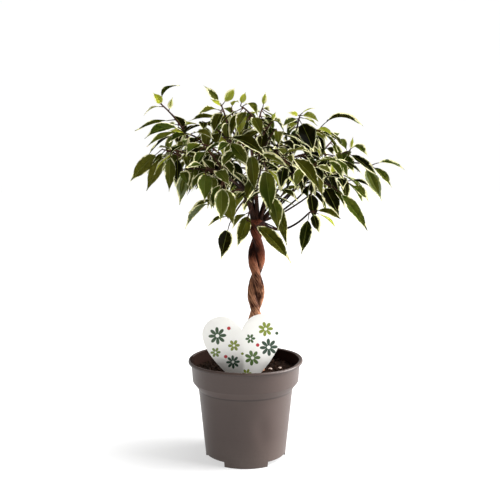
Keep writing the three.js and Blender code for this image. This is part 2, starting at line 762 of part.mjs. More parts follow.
// A heart on a stake, cut from one flat sheet and leaning a little to the left. A sheet grown by some
// clearance cuts the slot that it stands in.
function heartSheet(grown) {
  const wide = HEART_HALF_WIDTH + grown;
  const lobe = HEART_HALF_WIDTH / 2;
  const stake = STAKE_HALF_WIDTH + grown;
  const half = new THREE.Path();
  half.moveTo(0, HEART_NOTCH);
  half.bezierCurveTo(3, 68, 11, HEART_HEIGHT, lobe, HEART_HEIGHT);
  half.bezierCurveTo(lobe + 11, HEART_HEIGHT, wide, 67, wide, 56 - grown);
  half.bezierCurveTo(wide, 42 - grown, 26 + grown, 20 - grown, stake, 2 - grown);
  half.lineTo(stake, 6 - STAKE_LENGTH);
  half.lineTo(0, -STAKE_LENGTH - grown);
  const right = half.getPoints(7);
  const left = right.slice(1, -1).reverse().map((point) => new THREE.Vector2(-point.x, point.y));
  const heart = new THREE.Shape([...right, ...left]);
  const depth = LABEL_THICKNESS + 2 * grown;
  const sheet = new THREE.ExtrudeGeometry(heart, { depth, bevelEnabled: false });
  sheet.translate(0, 0, -depth / 2).rotateX(Math.PI / 2);
  sheet.rotateY(radians(-LABEL_TILT)).translate(0, LABEL_Y, HEART_TIP);
  return solidOf(sheet);
}

// A solid without the small hollows that leaves seal where they cross.
function filled(solid) {
  return wasm.Manifold.union(solid.decompose().filter((body) => body.volume() > 0));
}

const plant = new THREE.Group();

function place(name, solid, colour) {
  const made = solid.getMesh();
  const geometry = new THREE.BufferGeometry();
  geometry.setAttribute("position", new THREE.BufferAttribute(made.vertProperties, 3));
  geometry.setIndex(new THREE.BufferAttribute(made.triVerts, 1));
  geometry.computeVertexNormals();
  const finish = new THREE.MeshStandardMaterial({ color: colour, roughness: 0.7, flatShading: true });
  const mesh = new THREE.Mesh(geometry, finish);
  mesh.name = name;
  plant.add(mesh);
}

const { limbs, stems, grown } = growCrown();
place("pot", potSolid(), COLOURS.pot);
place("soil", soilSolid(), COLOURS.soil);
place("twisted_trunk", trunkSolid(limbs), COLOURS.trunk);
place("plant_label", heartSheet(0), COLOURS.label);
stems.forEach((curve, owner) => {
  const leaves = grown.filter((leaf) => leaf.owner === owner).map(leafSolid);
  const stem = rod(curve, STEM_SIDES, STEM_STEPS, STEM_THICK, STEM_THIN);
  const name = "leafy_shoot_" + String(owner + 1).padStart(2, "0");
  place(name, filled(wasm.Manifold.union([stem, ...leaves])), COLOURS.leaves);
});

export default plant;
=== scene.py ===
import math

import bmesh
import bpy
import numpy as np
from mathutils import Euler, Matrix, Vector, noise


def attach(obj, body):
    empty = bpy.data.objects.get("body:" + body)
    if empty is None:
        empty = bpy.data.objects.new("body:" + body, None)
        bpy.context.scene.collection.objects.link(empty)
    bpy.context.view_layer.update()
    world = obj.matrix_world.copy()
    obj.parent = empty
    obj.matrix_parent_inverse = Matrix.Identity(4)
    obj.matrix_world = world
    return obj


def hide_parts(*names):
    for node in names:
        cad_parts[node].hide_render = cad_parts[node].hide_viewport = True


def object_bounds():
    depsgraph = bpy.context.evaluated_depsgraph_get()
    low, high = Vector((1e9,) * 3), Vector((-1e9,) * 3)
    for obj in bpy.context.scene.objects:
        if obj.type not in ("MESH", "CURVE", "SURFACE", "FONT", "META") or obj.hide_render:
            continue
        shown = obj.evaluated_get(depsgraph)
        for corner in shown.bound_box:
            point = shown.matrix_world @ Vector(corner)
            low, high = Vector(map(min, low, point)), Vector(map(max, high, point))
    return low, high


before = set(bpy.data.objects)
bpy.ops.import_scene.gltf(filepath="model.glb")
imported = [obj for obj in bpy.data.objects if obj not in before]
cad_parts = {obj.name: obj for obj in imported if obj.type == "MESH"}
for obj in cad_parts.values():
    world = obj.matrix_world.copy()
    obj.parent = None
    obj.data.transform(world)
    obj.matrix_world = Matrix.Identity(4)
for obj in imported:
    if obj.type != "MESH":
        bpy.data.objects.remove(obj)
cad_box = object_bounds()

MM = 0.001
UP = np.array([0.0, 0.0, 1.0])

# Pot
POT_STEPS = 128
POT_HEIGHT = 105
WALL = 1.2
OUT_OF_ROUND = 0.35
EDGE_ROUNDING = 0.45
LIP_RADIUS = 60
LIP_HEIGHT = 3.4
COLLAR_TOP_RADIUS = 57
COLLAR_FOOT_RADIUS = 55.6
COLLAR_FOOT_HEIGHT = 82
SHOULDER_RADIUS = 49.6
SHOULDER_HEIGHT = 74
FOOT_RADIUS = 42
FLOOR_UNDERSIDE = 6
FLOOR_THICKNESS = 1.6
FLOOR_TOP = FLOOR_UNDERSIDE + FLOOR_THICKNESS
FOOT_SLOPE = (SHOULDER_RADIUS - FOOT_RADIUS) / SHOULDER_HEIGHT
FOOT_RING_WIDTH = 1.5
CENTRE_DISC_RADIUS = 14
NOTCH_HALF_ANGLE = 28
NOTCH_HEIGHT = 5.5
NOTCH_DEEP = 30
NOTCH_WIDE = 60
FRONT_FOOT_ANGLE = -89
DRAIN_RADIUS = 4
DRAIN_CENTRE = 33
DENT_WIDE = 0.17

# Where the pot's wall is pressed in: turn from the right in degrees, height, reach up and down, depth.
DENTS = [
    (-70, 44, 8, 1.2),
    (-66.1, 31, 6, 0.8),
]

# Compost
SOIL_GAP = 0.3
SOIL_HEIGHT = 93
SOIL_RELIEF = 1.35
SOIL_RINGS = 30
CRUMBS = 620
LONG_CRUMBS = 90
CRUMB_SEED = 77
CRUMB_TURN = 6.3

# Two pale chips of bark on the compost: right, back, half length, turn
PALE_CHIPS = [
    (25.7, -2, 2.2, 0.2),
    (36, 2, 2.0, -0.3),
]

# Trunk
TRUNK_SIDES = 72
TRUNK_STEPS = 150
TRUNK_FOOT = 68
TRUNK_TOP = 248
TRUNK_FOOT_X = 9.2
TRUNK_TOP_X = 12
STRAND_RADIUS = 4.6
STRAND_OFFSET = 4.15
STRAND_TURN = 75
PINCH_HEIGHT = 231
THIRD_STRAND = 0.9
THIRD_STRAND_WIDE = 0.13
CREASE_WIDE = 0.36
COLLAR_OF_ROOTS = 10.4
ROOTS_TOP = 112
PALE_BARK = 135  # the bark is pale below this height
DARK_BARK = 215  # and dark red above this one
KNUCKLE_RADIUS = 8
KNUCKLE_SQUASH = 0.55
KNUCKLE_RISE = 2

# Limbs of the crown, thick end and thin end
LIMB_SIDES = 10
LIMB_STEPS = 18
LIMB_THICK = 1.4
LIMB_THIN = 1
TWIN_THICK = 0.95
TWIN_THIN = 0.6
TWIN_SEED = 60
KNUCKLE = [12, 0, 247]
LIMB_ROOT = 4.5

# A short stub low on the right of the fork: its curve, its thick end and its thin end
STUB = [[16, -2, 249], [20, -3, 250], [23, -4, 255]]
STUB_THICK = 2.2
STUB_THIN = 1.6

# Leafy shoots
STEM_SIDES = 7
STEM_STEPS = 8
STEM_THICK = 1
STEM_THIN = 0.75
STEM_ARCH = 0.14
PETIOLE_SHARE = 0.2
PETIOLE_RADIUS = 0.6
BLADE_COLUMNS = 4
BLADE_ROWS = 9
BLADE_NUDGE = 0.5  # moves the inner points of a blade by up to 0.35 mm
BLADE_FOLD = 24
BLADE_END = 0.985
BLADE_WAVE = 0.045
FULL_TURN = 6.283
VEIN_SPACING = 1.5
DRIP_TIP = 0.4
LEAF_ARCH = 0.17
NEIGHBOUR_REACH = 62
LEAF_CLEARANCE = 3.4
STEM_CLEARANCE = 2.8
GAP = 0.3

# Label
LABEL_THICKNESS = 0.9
LABEL_Y = -28
LABEL_TILT = 3.5
HEART_TIP = 82
HEART_HALF_WIDTH = 40.3
HEART_HEIGHT = 74.5
HEART_NOTCH = 59.5
STAKE_HALF_WIDTH = 3.2
STAKE_LENGTH = 32
LABEL_ROUNDING = 0.15

# Print on the label: where each rosette or berry lies, its size in mm, how many petals it has, and its ink.
ROSETTES = [
    (-25, 55, 9, 8, "#2f4a2c"),
    (-9, 44, 6, 6, "#7d8a2f"),
    (24, 59, 7.5, 7, "#7d8a2f"),
    (-28, 38, 5.2, 6, "#6c7f35"),
    (26, 40, 9, 8, "#26402c"),
    (8, 50, 5, 6, "#3d5a2c"),
    (9, 30, 8, 7, "#4f6a2e"),
    (-11, 27, 7, 8, "#2c4a35"),
    (2, 14, 5.2, 6, "#7d8a2f"),
    (-13, 62, 1.8, 0, "#b3262a"),
    (-18, 33, 1.8, 0, "#b3262a"),
    (15, 43, 1.8, 0, "#b3262a"),
    (-1, 35, 1.4, 0, "#7d8a2f"),
    (35, 54, 1.6, 0, "#2f4a2c"),
]

# Camera, fitted to the photograph
CAMERA_PLACE = (4.6, -900, 339)
CAMERA_DIP = 7.6
CAMERA_FOCAL_PX = 883
PICTURE_PX = 500

# Floor and lamps, in metres: each lamp's name, place and size, and its power in watts
FLOOR_HALF = 4
LAMP_AIM = (0, 0, 0.2)
LAMPS = [
    ("key", (1.3, -0.25, 1.5), 1.2, 62),
    ("side", (1.5, 0.2, 0.4), 0.8, 42),
]

# Thin bare twigs of the fork: where each bends and where it ends.
TWIGS = [
    [[38, 0, 255], [62, 2, 281]],
    [[36, 5, 252], [68, 10, 276]],
    [[33, -5, 260], [56, -8, 288]],
    [[30, -8, 262], [46, -16, 292]],
    [[26, 6, 266], [44, 14, 300]],
    [[4, -8, 268], [-10, -22, 292]],
]
TWIG_THICK = 1.1
TWIG_THIN = 0.8

# Each limb: where it ends, how far its bend leans outward, and how high its bend is, as shares of its reach.
LIMBS = [
    [-56, 2, 332, 0.22, 0.85],
    [-52, -28, 308, 0.18, 0.85],
    [-22, -58, 296, 0.18, 0.85],
    [-18, 22, 346, 0.15, 0.7],
    [10, 6, 350, 0.1, 0.5],
    [50, 4, 334, 0.25, 0.75],
    [84, 8, 308, 0.4, 0.5],
    [46, -42, 300, 0.3, 0.75],
    [10, -62, 300, 0.1, 0.85],
    [64, 15, 254, 0.5, -2.6],
    [-48, 52, 322, 0.2, 0.8],
    [2, 66, 336, 0.15, 0.8],
    [56, 56, 322, 0.25, 0.7],
    [-8, 58, 292, 0.2, 0.8],
    [78, 44, 296, 0.35, 0.5],
    [-34, 14, 306, 0.2, 0.85],
]

# Each shoot: the limb that bears it, how far along it, where its stem ends, and its leaves.
# A leaf says how far along the stem it grows, how far its tip lies to the right and above as seen
# from the front, its length (below zero where it runs away from the front), its width, and the way
# its upper face looks: 0 to the front, 90 up, 180 to the back. A last number changes its arch.
FRONT_SHOOTS = [
    [8, 0.42, [2, -64, 256], [
        [1, 41, -40, 60, 15, 40, 0.34],
        [0.7, -12, -36, 42, 14, 15],
    ]],
    [0, 1, [-87, 10, 368], [
        [1, 22, 17, 30, 12, 82, 0.4],
        [0.9, -9, 13, 18, 9, 20],
        [0.7, 5, 14, 17, 6, 0],
        [0.85, -20, -9, 24, 8, 88, 0.3],
        [0.45, -40, -12, 46, 11, 72, 0.1],
        [0.3, -25, -4, -34, 10, 75],
        [0.15, -37, -15, 46, 11, 70],
        [0.25, 14, 3, -26, 9, 60],
    ]],
    [0, 0.85, [-60, -22, 338], [
        [1, -37, -6, 46, 15, 55, 0.4],
        [0.9, -17, 2, 22, 6, 40],
        [0.75, 26, -4, 44, 12, 70],
        [0.5, -22, -6, 48, 13, 75],
        [0.4, 12, 12, -36, 11, 70],
    ]],
    [1, 1, [-83, -15, 322], [
        [1, -31, -31, 47, 15, 15],
        [0.88, -15, -19, 28, 6, 10],
        [0.8, -19, -40, 48, 14, 30],
        [0.6, -14, 5, 28, 9, 60],
        [0.45, 2, 14, -26, 8, 60],
        [0.3, -18, 8, -34, 10, 75],
    ]],
    [1, 0.8, [-72, -44, 322], [
        [1, 1, -40, 44, 12, 10],
        [0.85, 2, -30, 40, 12, 180],
        [0.6, -4, -22, 32, 9, 40],
        [0.7, 14, 16, -34, 10, 60],
    ]],
    [1, 0.6, [-60, -58, 304], [
        [1, 8, -15, 30, 11, 30],
        [0.9, -12, -33, 44, 12, 35],
        [0.75, -6, -17, 34, 9, 60],
        [0.6, 16, -26, 44, 13, 150],
    ]],
    [2, 0.95, [-36, -82, 305], [
        [1, -1, -29, 38, 15, 15],
        [0.85, -20, 2, 34, 10, 60],
        [0.6, 16, -14, 44, 13, 50],
    ]],
    [2, 0.8, [-21, -88, 294], [
        [1, 0, -36, 42, 15, 10],
        [0.9, 11, -41, 46, 14, 20],
        [0.6, -12, -26, 42, 12, 150],
    ]],
    [2, 0.6, [-28, -66, 272], [
        [1, -27, -22, 46, 10, 80, 0.35],
        [0.8, 8, -18, 34, 11, 30],
    ]],
    [2, 0.4, [-15, -62, 252], [
        [1, -8, -31, 38, 15, 15],
        [0.8, 2, -14, 24, 8, 30],
    ]],
    [8, 1, [-20, -72, 334], [
        [1, 40, -23, 52, 14, 55, 0.26],
        [0.9, 22, -26, 46, 13, 40],
        [0.75, -12, -8, 42, 10, 60],
        [0.55, -16, -22, 44, 12, 50],
    ]],
    [8, 0.9, [5, -92, 324], [
        [1, 4, -38, 44, 14, 25],
        [0.9, -8, -45, 52, 13, 35],
        [0.7, 18, -6, 36, 11, 60],
    ]],
    [8, 0.7, [18, -86, 312], [
        [1, 5, -46, 50, 18, 15],
        [0.9, 16, 2, 24, 8, 60],
        [0.6, -14, -32, 44, 13, 150],
    ]],
    [7, 0.5, [24, -62, 284], [
        [1, 8, -36, 46, 15, 50],
        [0.85, 16, -53, 60, 12, 35],
        [0.6, 10, -38, 50, 11, 175],
    ]],
    [9, 1, [70, 13, 258], [
        [1, 28, -7, 38, 11, 60, 0.2],
        [0.8, 6, -22, 30, 11, 20],
        [0.3, -9, -42, 46, 14, 15],
    ]],
    [6, 0.65, [86, -36, 286], [
        [1, 32, -43, 56, 13, 50],
        [0.65, 16, -32, 44, 17, 20],
        [0.6, 20, 6, 38, 10, 70],
        [0.4, -8, -14, 40, 12, 150],
    ]],
    [6, 0.85, [104, -14, 288], [
        [1, 18, -17, 34, 10, 55],
        [0.9, 20, -4, 38, 9, 75],
        [0.7, -6, -18, 40, 12, 40],
        [0.5, 10, 14, -34, 10, 60],
    ]],
    [6, 1, [107, 10, 320], [
        [0.95, 18, -6, 28, 10, 55, 0.6],
        [1, 2, 15, 17, 4, 0],
        [0.78, 30, -25, 46, 11, 55],
        [0.66, 10, -20, 34, 11, 40],
        [0.52, -6, -28, 42, 12, 15],
        [0.38, 5, -29, 38, 11, 30],
    ]],
    [6, 0.95, [131, 20, 305], [
        [1, 32, -5, 36, 8, 60, 0.36],
        [0.95, 22, -23, 36, 10, 50],
        [0.8, 16, -38, 50, 15, 25],
        [0.58, -4, -22, 36, 11, 60],
        [0.42, 8, 12, -30, 9, 70],
    ]],
    [6, 0.75, [96, 46, 333], [
        [1, 10, -13, 28, 10, 50],
        [0.8, 12, 10, -34, 9, 60],
        [0.6, -14, 6, -36, 10, 60],
    ]],
    [5, 1, [55, 0, 356], [
        [0.75, 14, -33, 46, 20, 30],
        [0.6, -12, -10, 24, 8, 60],
        [0.95, 18, -6, 24, 10, 45, 0.3],
        [0.85, 18, -9, 24, 6, 70],
        [1, 15, 7, 18, 4, 80],
        [0.95, -13, 3, 16, 6, 20],
        [0.8, -18, -9, 28, 9, 50],
        [0.4, -12, -16, 40, 14, 150],
    ]],
    [5, 0.85, [76, 18, 342], [
        [1, 43, 2, 50, 14, 65, 0.48],
        [0.8, 17, -5, 36, 11, 60],
        [0.7, 16, -10, 24, 7, 50],
        [0.55, 14, -18, 30, 8, 40],
        [0.9, -9, 3, 14, 5, 60],
        [0.35, -14, -10, 42, 12, 60],
    ]],
    [7, 0.85, [38, -68, 318], [
        [1, 32, -34, 54, 15, 55, 0.28],
        [0.9, 20, 4, 44, 14, 60],
        [0.7, -12, 10, 40, 12, 60],
        [0.5, -6, -26, 44, 13, 30],
    ]],
    [7, 1, [66, -62, 308], [
        [1, 16, -8, 26, 8, 40],
        [0.9, 22, 4, 40, 12, 60],
        [0.7, 12, -28, 46, 13, 40],
        [0.5, -10, -20, 42, 12, 60],
    ]],
    [3, 1, [-25, 10, 367], [
        [1, -17, 19, 27, 8, 15],
        [0.8, -12, 8, 18, 6, 30],
        [0.9, 13, 18, 24, 10, 190],
        [0.55, -25, -3, 42, 11, 65],
        [0.2, -38, -2, 48, 13, 60, 0.12],
    ]],
    [3, 0.85, [-15, 30, 363], [
        [1, 9, 6, 22, 8, 70, 0.3],
        [0.8, 12, -12, 30, 7, 60],
        [0.5, -16, -4, -40, 12, 70],
        [0.6, -10, 10, -30, 9, 60],
    ]],
    [4, 1, [-5, -5, 365], [
        [0.88, 16, -12, 28, 10, 70, 0.6],
        [1, 5, 14, 15, 7, 0],
        [0.6, -10, -20, 40, 11, 50],
        [0.3, 12, -24, 46, 12, 45],
    ]],
    [4, 0.9, [18, 30, 365], [
        [1, 3, 15, 16, 6, 0],
        [0.85, 7, -3, 26, 9, 60],
        [0.7, -10, -6, -34, 10, 60],
        [0.5, 14, -10, -40, 11, 60],
    ]],
    [4, 0.75, [27, -12, 350], [
        [0.88, 10, 0, 26, 9, 60],
        [1, 3, 9, 14, 5, 20],
        [0.7, -16, -18, 44, 12, 50],
        [0.45, 22, -16, 44, 13, 60],
    ]],
    [15, 1, [-46, -14, 316], [
        [1, -10, -26, 44, 14, 170],
        [0.8, 10, -28, 46, 14, 160],
        [0.6, -16, 6, 40, 12, 60],
        [0.35, 18, -10, 44, 13, 150],
    ]],
    [15, 0.7, [-16, -32, 312], [
        [1, -6, -34, 46, 14, 165],
        [0.8, 14, -28, 44, 13, 20],
        [0.5, -18, -12, 44, 13, 160],
    ]],
    [5, 0.6, [32, -26, 328], [
        [1, 16, -8, 44, 13, 60],
        [0.8, -10, -24, 44, 13, 150],
        [0.5, 18, -22, 44, 13, 40],
    ]],
]

# Each shoot whose leaves all come by rule: its limb, how far along it, and where its stem ends.
PLAIN_SHOOTS = [
    [3, 0.65, [-44, 4, 350]],
    [0, 0.6, [-46, -46, 328]],
    [10, 0.45, [-62, 22, 318]],
    [2, 0.9, [-40, -50, 326]],
    [8, 0.6, [-4, -50, 330]],
    [4, 0.6, [30, -34, 342]],
    [5, 0.45, [58, -30, 318]],
    [6, 0.8, [84, -38, 316]],
    [10, 1, [-78, 72, 340]],
    [10, 0.8, [-84, 44, 318]],
    [10, 0.6, [-42, 78, 316]],
    [11, 1, [-16, 88, 356]],
    [11, 0.8, [22, 92, 338]],
    [12, 1, [72, 76, 342]],
    [12, 0.8, [94, 56, 314]],
    [12, 0.6, [50, 84, 310]],
    [13, 1, [-26, 84, 286]],
    [13, 0.7, [16, 78, 278]],
    [14, 1, [108, 58, 292]],
    [14, 0.7, [72, 66, 276]],
]
PLAIN_LEAVES = 5
PLAIN_LENGTH, PLAIN_WIDTH = 38, 11  # or up to 10 longer and 4 wider
END_LENGTH, END_WIDTH = 34, 10  # of the leaf at the tip of a stem
FULL_SHOOT = 5
LEAF_SEED = 11
FILL_SEED = 300
FILL_TRIES = 80
FILL_LEAVES = 7
FILL_CLEARANCE = 2.2
FILL_LENGTH, FILL_WIDTH = 30, 10  # or up to 14 longer and 4 wider
FILL_FROM, FILL_TO = 16, 88  # how far out from the trunk their tips may be
FILL_LOWEST, FILL_HIGHEST = 256, 352  # and how high, close to the trunk
FAN_FROM, FAN_TO, FAN_LIFT = 12, 46, 10  # none hangs low in front of the fan of limbs on the right

# The seed of each leaf's tone, twist and margin. The shortest leaves are fresh, and so are some late ones.
LOOK_SEED = 540
LATE = 0.88
LATE_LENGTH = 38
FRESH_LENGTH = 29

# The crown's heart, round which leaves are painted darker as painted shade, and how far its outer leaves lie
# from it, across, back and up
CROWN_HEART = np.array([24.0, 4.0, 296.0])
CROWN_REACH = np.array([125.0, 105.0, 66.0])

# Turns that a leaf tries in order, so that it grows clear of the others: swing about the upright, then lift.
WAYS_OUT = [
    [0, 0], [0, 6], [0, -6],
    [12, 0], [-12, 0], [12, 8], [-12, 8], [12, -8], [-12, -8],
    [26, 0], [-26, 0], [26, 10], [-26, 10],
    [40, -6], [-40, -6],
]


def linear(hex_colour):
    """An sRGB hex colour as linear light with full alpha."""
    parts = [int(hex_colour[i : i + 2], 16) / 255 for i in (1, 3, 5)]
    return [p / 12.92 if p <= 0.04045 else ((p + 0.055) / 1.055) ** 2.4 for p in parts] + [1.0]


def draws(seed):
    """A seeded run of numbers from 0 to 1."""
    state = seed
    while True:
        state = (state * 1664525 + 1013904223) % 2**32
        yield state / 2**32


def unit(v):
    return v / np.linalg.norm(v)


def smooth(x, low, high):
    t = min(max((x - low) / (high - low), 0.0), 1.0)
    return t * t * (3 - 2 * t)


def turned(x, y, angle):
    """A flat point turned about the origin."""
    return x * math.cos(angle) - y * math.sin(angle), x * math.sin(angle) + y * math.cos(angle)


class Bend:
    """A curve from a to c that leaves a toward b."""

    def __init__(self, a, b, c):
        self.a, self.b, self.c = (np.array(p, float) for p in (a, b, c))

    def at(self, t):
        return self.a * (1 - t) ** 2 + self.b * (2 * t * (1 - t)) + self.c * (t * t)

    def along(self, t):
        return unit((self.b - self.a) * (1 - t) + (self.c - self.b) * t)

    def across(self):
        flat = np.cross(self.b - self.a, self.c - self.a)
        return unit(flat) if np.linalg.norm(flat) > 1e-6 else np.array([1.0, 0.0, 0.0])


def limb_curve(x, y, z, lean, climb):
    start = np.array(KNUCKLE, float)
    reach = np.array([x, y, z]) - start
    level = math.hypot(reach[0], reach[1])
    root = start + LIMB_ROOT / level * reach * [1, 1, 0]
    return Bend(root, start + reach * [lean, lean, climb], [x, y, z])


def stem_curve(limb, along, end):
    """The stem leaves its limb square to it as far as it can, with a clear gap at the joint."""
    start, end = limb.at(along), np.array(end, float)
    reach = end - start
    heading, grain = unit(reach), limb.along(along)
    lean = heading @ grain
    if along == 1:
        start = start + grain * (GAP + STEM_THICK * math.sqrt(1 - lean * lean))
    else:
        radius = LIMB_THICK + (LIMB_THIN - LIMB_THICK) * along
        start = start + unit(heading - grain * lean) * (radius + GAP + 0.8 * STEM_THICK * abs(lean))
    middle = (start + end) / 2
    return Bend(start, middle + UP * STEM_ARCH * np.linalg.norm(end - start), end)


def outline(share):
    """Half the width of a blade at a share of its length, as a part of its widest half."""
    return math.sin(math.pi * share**0.8) ** 0.9 * (1 - 0.35 * share**4)


class Leaf:
    """One leaf: its curve from stem to tip, the ways its side and face look, and marks all over its blade."""

    def __init__(self, root, reach, face, width, arch):
        length = np.linalg.norm(reach)
        normal = unit(face - reach * (face @ reach) / length**2)
        self.length, self.width = length, width
        self.curve = Bend(root, root + reach / 2 + normal * arch * length, root + reach)
        self.side = np.cross(unit(reach), normal)
        self.centre = root + reach / 2
        marks = []
        for i in range(9):
            t = 0.14 + 0.105 * i
            share = (t - PETIOLE_SHARE) / (1 - PETIOLE_SHARE)
            half = width / 2 * outline(share) if share > 0 else PETIOLE_RADIUS
            marks += [self.edge_point(t, half * across) for across in (-1, -0.34, 0.34, 1)]
        self.marks = np.array(marks)

    def up(self, t):
        return np.cross(self.side, self.curve.along(t))

    def edge_point(self, t, out):
        """A point of the folded blade, a distance to one side of its midrib."""
        fold = math.radians(BLADE_FOLD)
        return self.curve.at(t) + self.side * out * math.cos(fold) + self.up(t) * abs(out) * math.sin(fold)


def spoke(curve, side, t, angle):
    """The way out from a curve at a turn round it, where side is no turn."""
    across = unit(side - curve.along(t) * (side @ curve.along(t)))
    return across * math.cos(angle) + np.cross(across, curve.along(t)) * math.sin(angle)


def near(marks, others, limit):
    gaps = marks[:, None, :] - others[None, :, :]
    return (gaps * gaps).sum(2).min() < limit * limit


def neighbours(leaf, grown):
    return [other for other in grown if np.linalg.norm(leaf.centre - other.centre) < NEIGHBOUR_REACH]


def clears_rods(leaf, owner, rods):
    return not any(who != owner and near(leaf.marks, marks, limit) for marks, who, limit in rods)


def clears_all(leaf, owner, grown, rods):
    for other in neighbours(leaf, grown):
        if other.owner != owner and near(leaf.marks, other.marks, LEAF_CLEARANCE):
            return False
    return clears_rods(leaf, owner, rods)


def grow_leaf(root, reach, face, width, arch, owner, grown, rods):
    """Grows a leaf the first way that is clear of what stands already. One with no clear way is left out."""
    for swing, lift in WAYS_OUT:
        aside = np.array([*turned(reach[0], reach[1], math.radians(swing)), reach[2] + lift])
        leaf = Leaf(root, aside, face, width, arch)
        if clears_all(leaf, owner, grown, rods):
            leaf.owner = owner
            grown.append(leaf)
            return


def grow_crown():
    """All limbs, stems and leaves of the crown, each leaf with the number of the shoot that owns it."""
    limbs = [limb_curve(*limb) for limb in LIMBS]
    stems = [stem_curve(limbs[s[0]], s[1], s[2]) for s in FRONT_SHOOTS + PLAIN_SHOOTS]
    rods = [(np.array([c.at(i / 24) for i in range(25)]), -1, LIMB_THICK + STEM_CLEARANCE - 1) for c in limbs]
    rods += [(np.array([c.at(i / 12) for i in range(13)]), k, STEM_CLEARANCE) for k, c in enumerate(stems)]
    grown = []
    for owner, shoot in enumerate(FRONT_SHOOTS):
        for along, right, up, length, width, look, *rest in shoot[3]:
            depth = math.sqrt(max(length * length - right * right - up * up, 0))
            reach = np.array([right, -depth if length > 0 else depth, up])
            face = np.array([0, -math.cos(math.radians(look)), math.sin(math.radians(look))])
            arch = rest[0] if rest else LEAF_ARCH
            grow_leaf(stems[owner].at(along), reach, face, width, arch, owner, grown, rods)
    for owner, curve in enumerate(stems):
        plain = owner >= len(FRONT_SHOOTS)
        missing = PLAIN_LEAVES if plain else int(len(FRONT_SHOOTS[owner][3]) < FULL_SHOOT)
        draw = draws(LEAF_SEED + owner)
        outward = math.atan2(curve.c[1], curve.c[0] - KNUCKLE[0])
        for i in range(missing):
            along = 1 - 0.17 * i if plain else 0.8 - 0.4 * i
            turn = (1 if i % 2 else -1) * (0.25 + 0.32 * i) + 0.5 * (next(draw) - 0.5)
            dip = 0.15 + 0.9 * next(draw)
            length = PLAIN_LENGTH + 10 * next(draw) if i else END_LENGTH
            width = PLAIN_WIDTH + 4 * next(draw) if i else END_WIDTH
            reach, level = hanging(outward + turn, dip, length)
            grow_leaf(curve.at(along), reach, (level + UP) * 0.7, width, LEAF_ARCH, owner, grown, rods)
    for owner, curve in enumerate(stems):
        fill_shoot(owner, curve, grown, rods)
    return limbs, stems, grown


def hanging(heading, dip, length):
    """The way from the stem to the tip of a leaf that hangs at a dip, and the level way that it heads."""
    level = np.array([math.cos(heading), math.sin(heading), 0])
    return level * length * math.cos(dip) - UP * length * math.sin(dip), level


def fill_shoot(owner, curve, grown, rods):
    """Adds leaves inside the crown, where the first ones leave room, hanging off the same stems."""
    draw = draws(FILL_SEED + owner)
    outward = math.atan2(curve.c[1], curve.c[0] - KNUCKLE[0])
    added = 0
    for _ in range(FILL_TRIES):
        along = 0.2 + 0.75 * next(draw)
        heading = outward + 4.4 * (next(draw) - 0.5)
        dip = 0.2 + 1.0 * next(draw)
        length, width = FILL_LENGTH + 14 * next(draw), FILL_WIDTH + 4 * next(draw)
        reach, level = hanging(heading, dip, length)
        leaf = Leaf(curve.at(along), reach, level + UP * (0.3 + next(draw)), width, LEAF_ARCH)
        tip = leaf.curve.c
        spread = math.hypot(tip[0] - KNUCKLE[0], 1.1 * tip[1])
        lowest = FILL_LOWEST + 0.22 * spread + (FAN_LIFT if FAN_FROM < tip[0] < FAN_TO else 0)
        if not FILL_FROM <= spread <= FILL_TO or not lowest < tip[2] < FILL_HIGHEST - 0.2 * spread:
            continue
        if any(near(leaf.marks[4:], other.marks[4:], FILL_CLEARANCE) for other in neighbours(leaf, grown)):
            continue
        if not clears_rods(leaf, owner, rods):
            continue
        leaf.owner = owner
        grown.append(leaf)
        added += 1
        if added == FILL_LEAVES:
            return


def material(name):
    made = bpy.data.materials.new(name)
    made.use_nodes = True
    made.node_tree.nodes.clear()
    return made


def add(to, kind, feeds=None, **settings):
    """Adds a shader node. feeds gives an input its value, or the output or the node that drives it."""
    made = to.node_tree.nodes.new("ShaderNode" + kind)
    for name, value in settings.items():
        setattr(made, name, value)
    for name, value in (feeds or {}).items():
        if isinstance(value, bpy.types.Node):
            value = next(output for output in value.outputs if output.enabled)
        if isinstance(value, bpy.types.NodeSocket):
            to.node_tree.links.new(value, made.inputs[name])
        else:
            made.inputs[name].default_value = value
    return made


FACTOR, FIRST, SECOND = 0, 6, 7  # inputs of a Mix node set to colours
LEAF_MEASURES = ("inset", "beside", "vein", "youth", "tone")


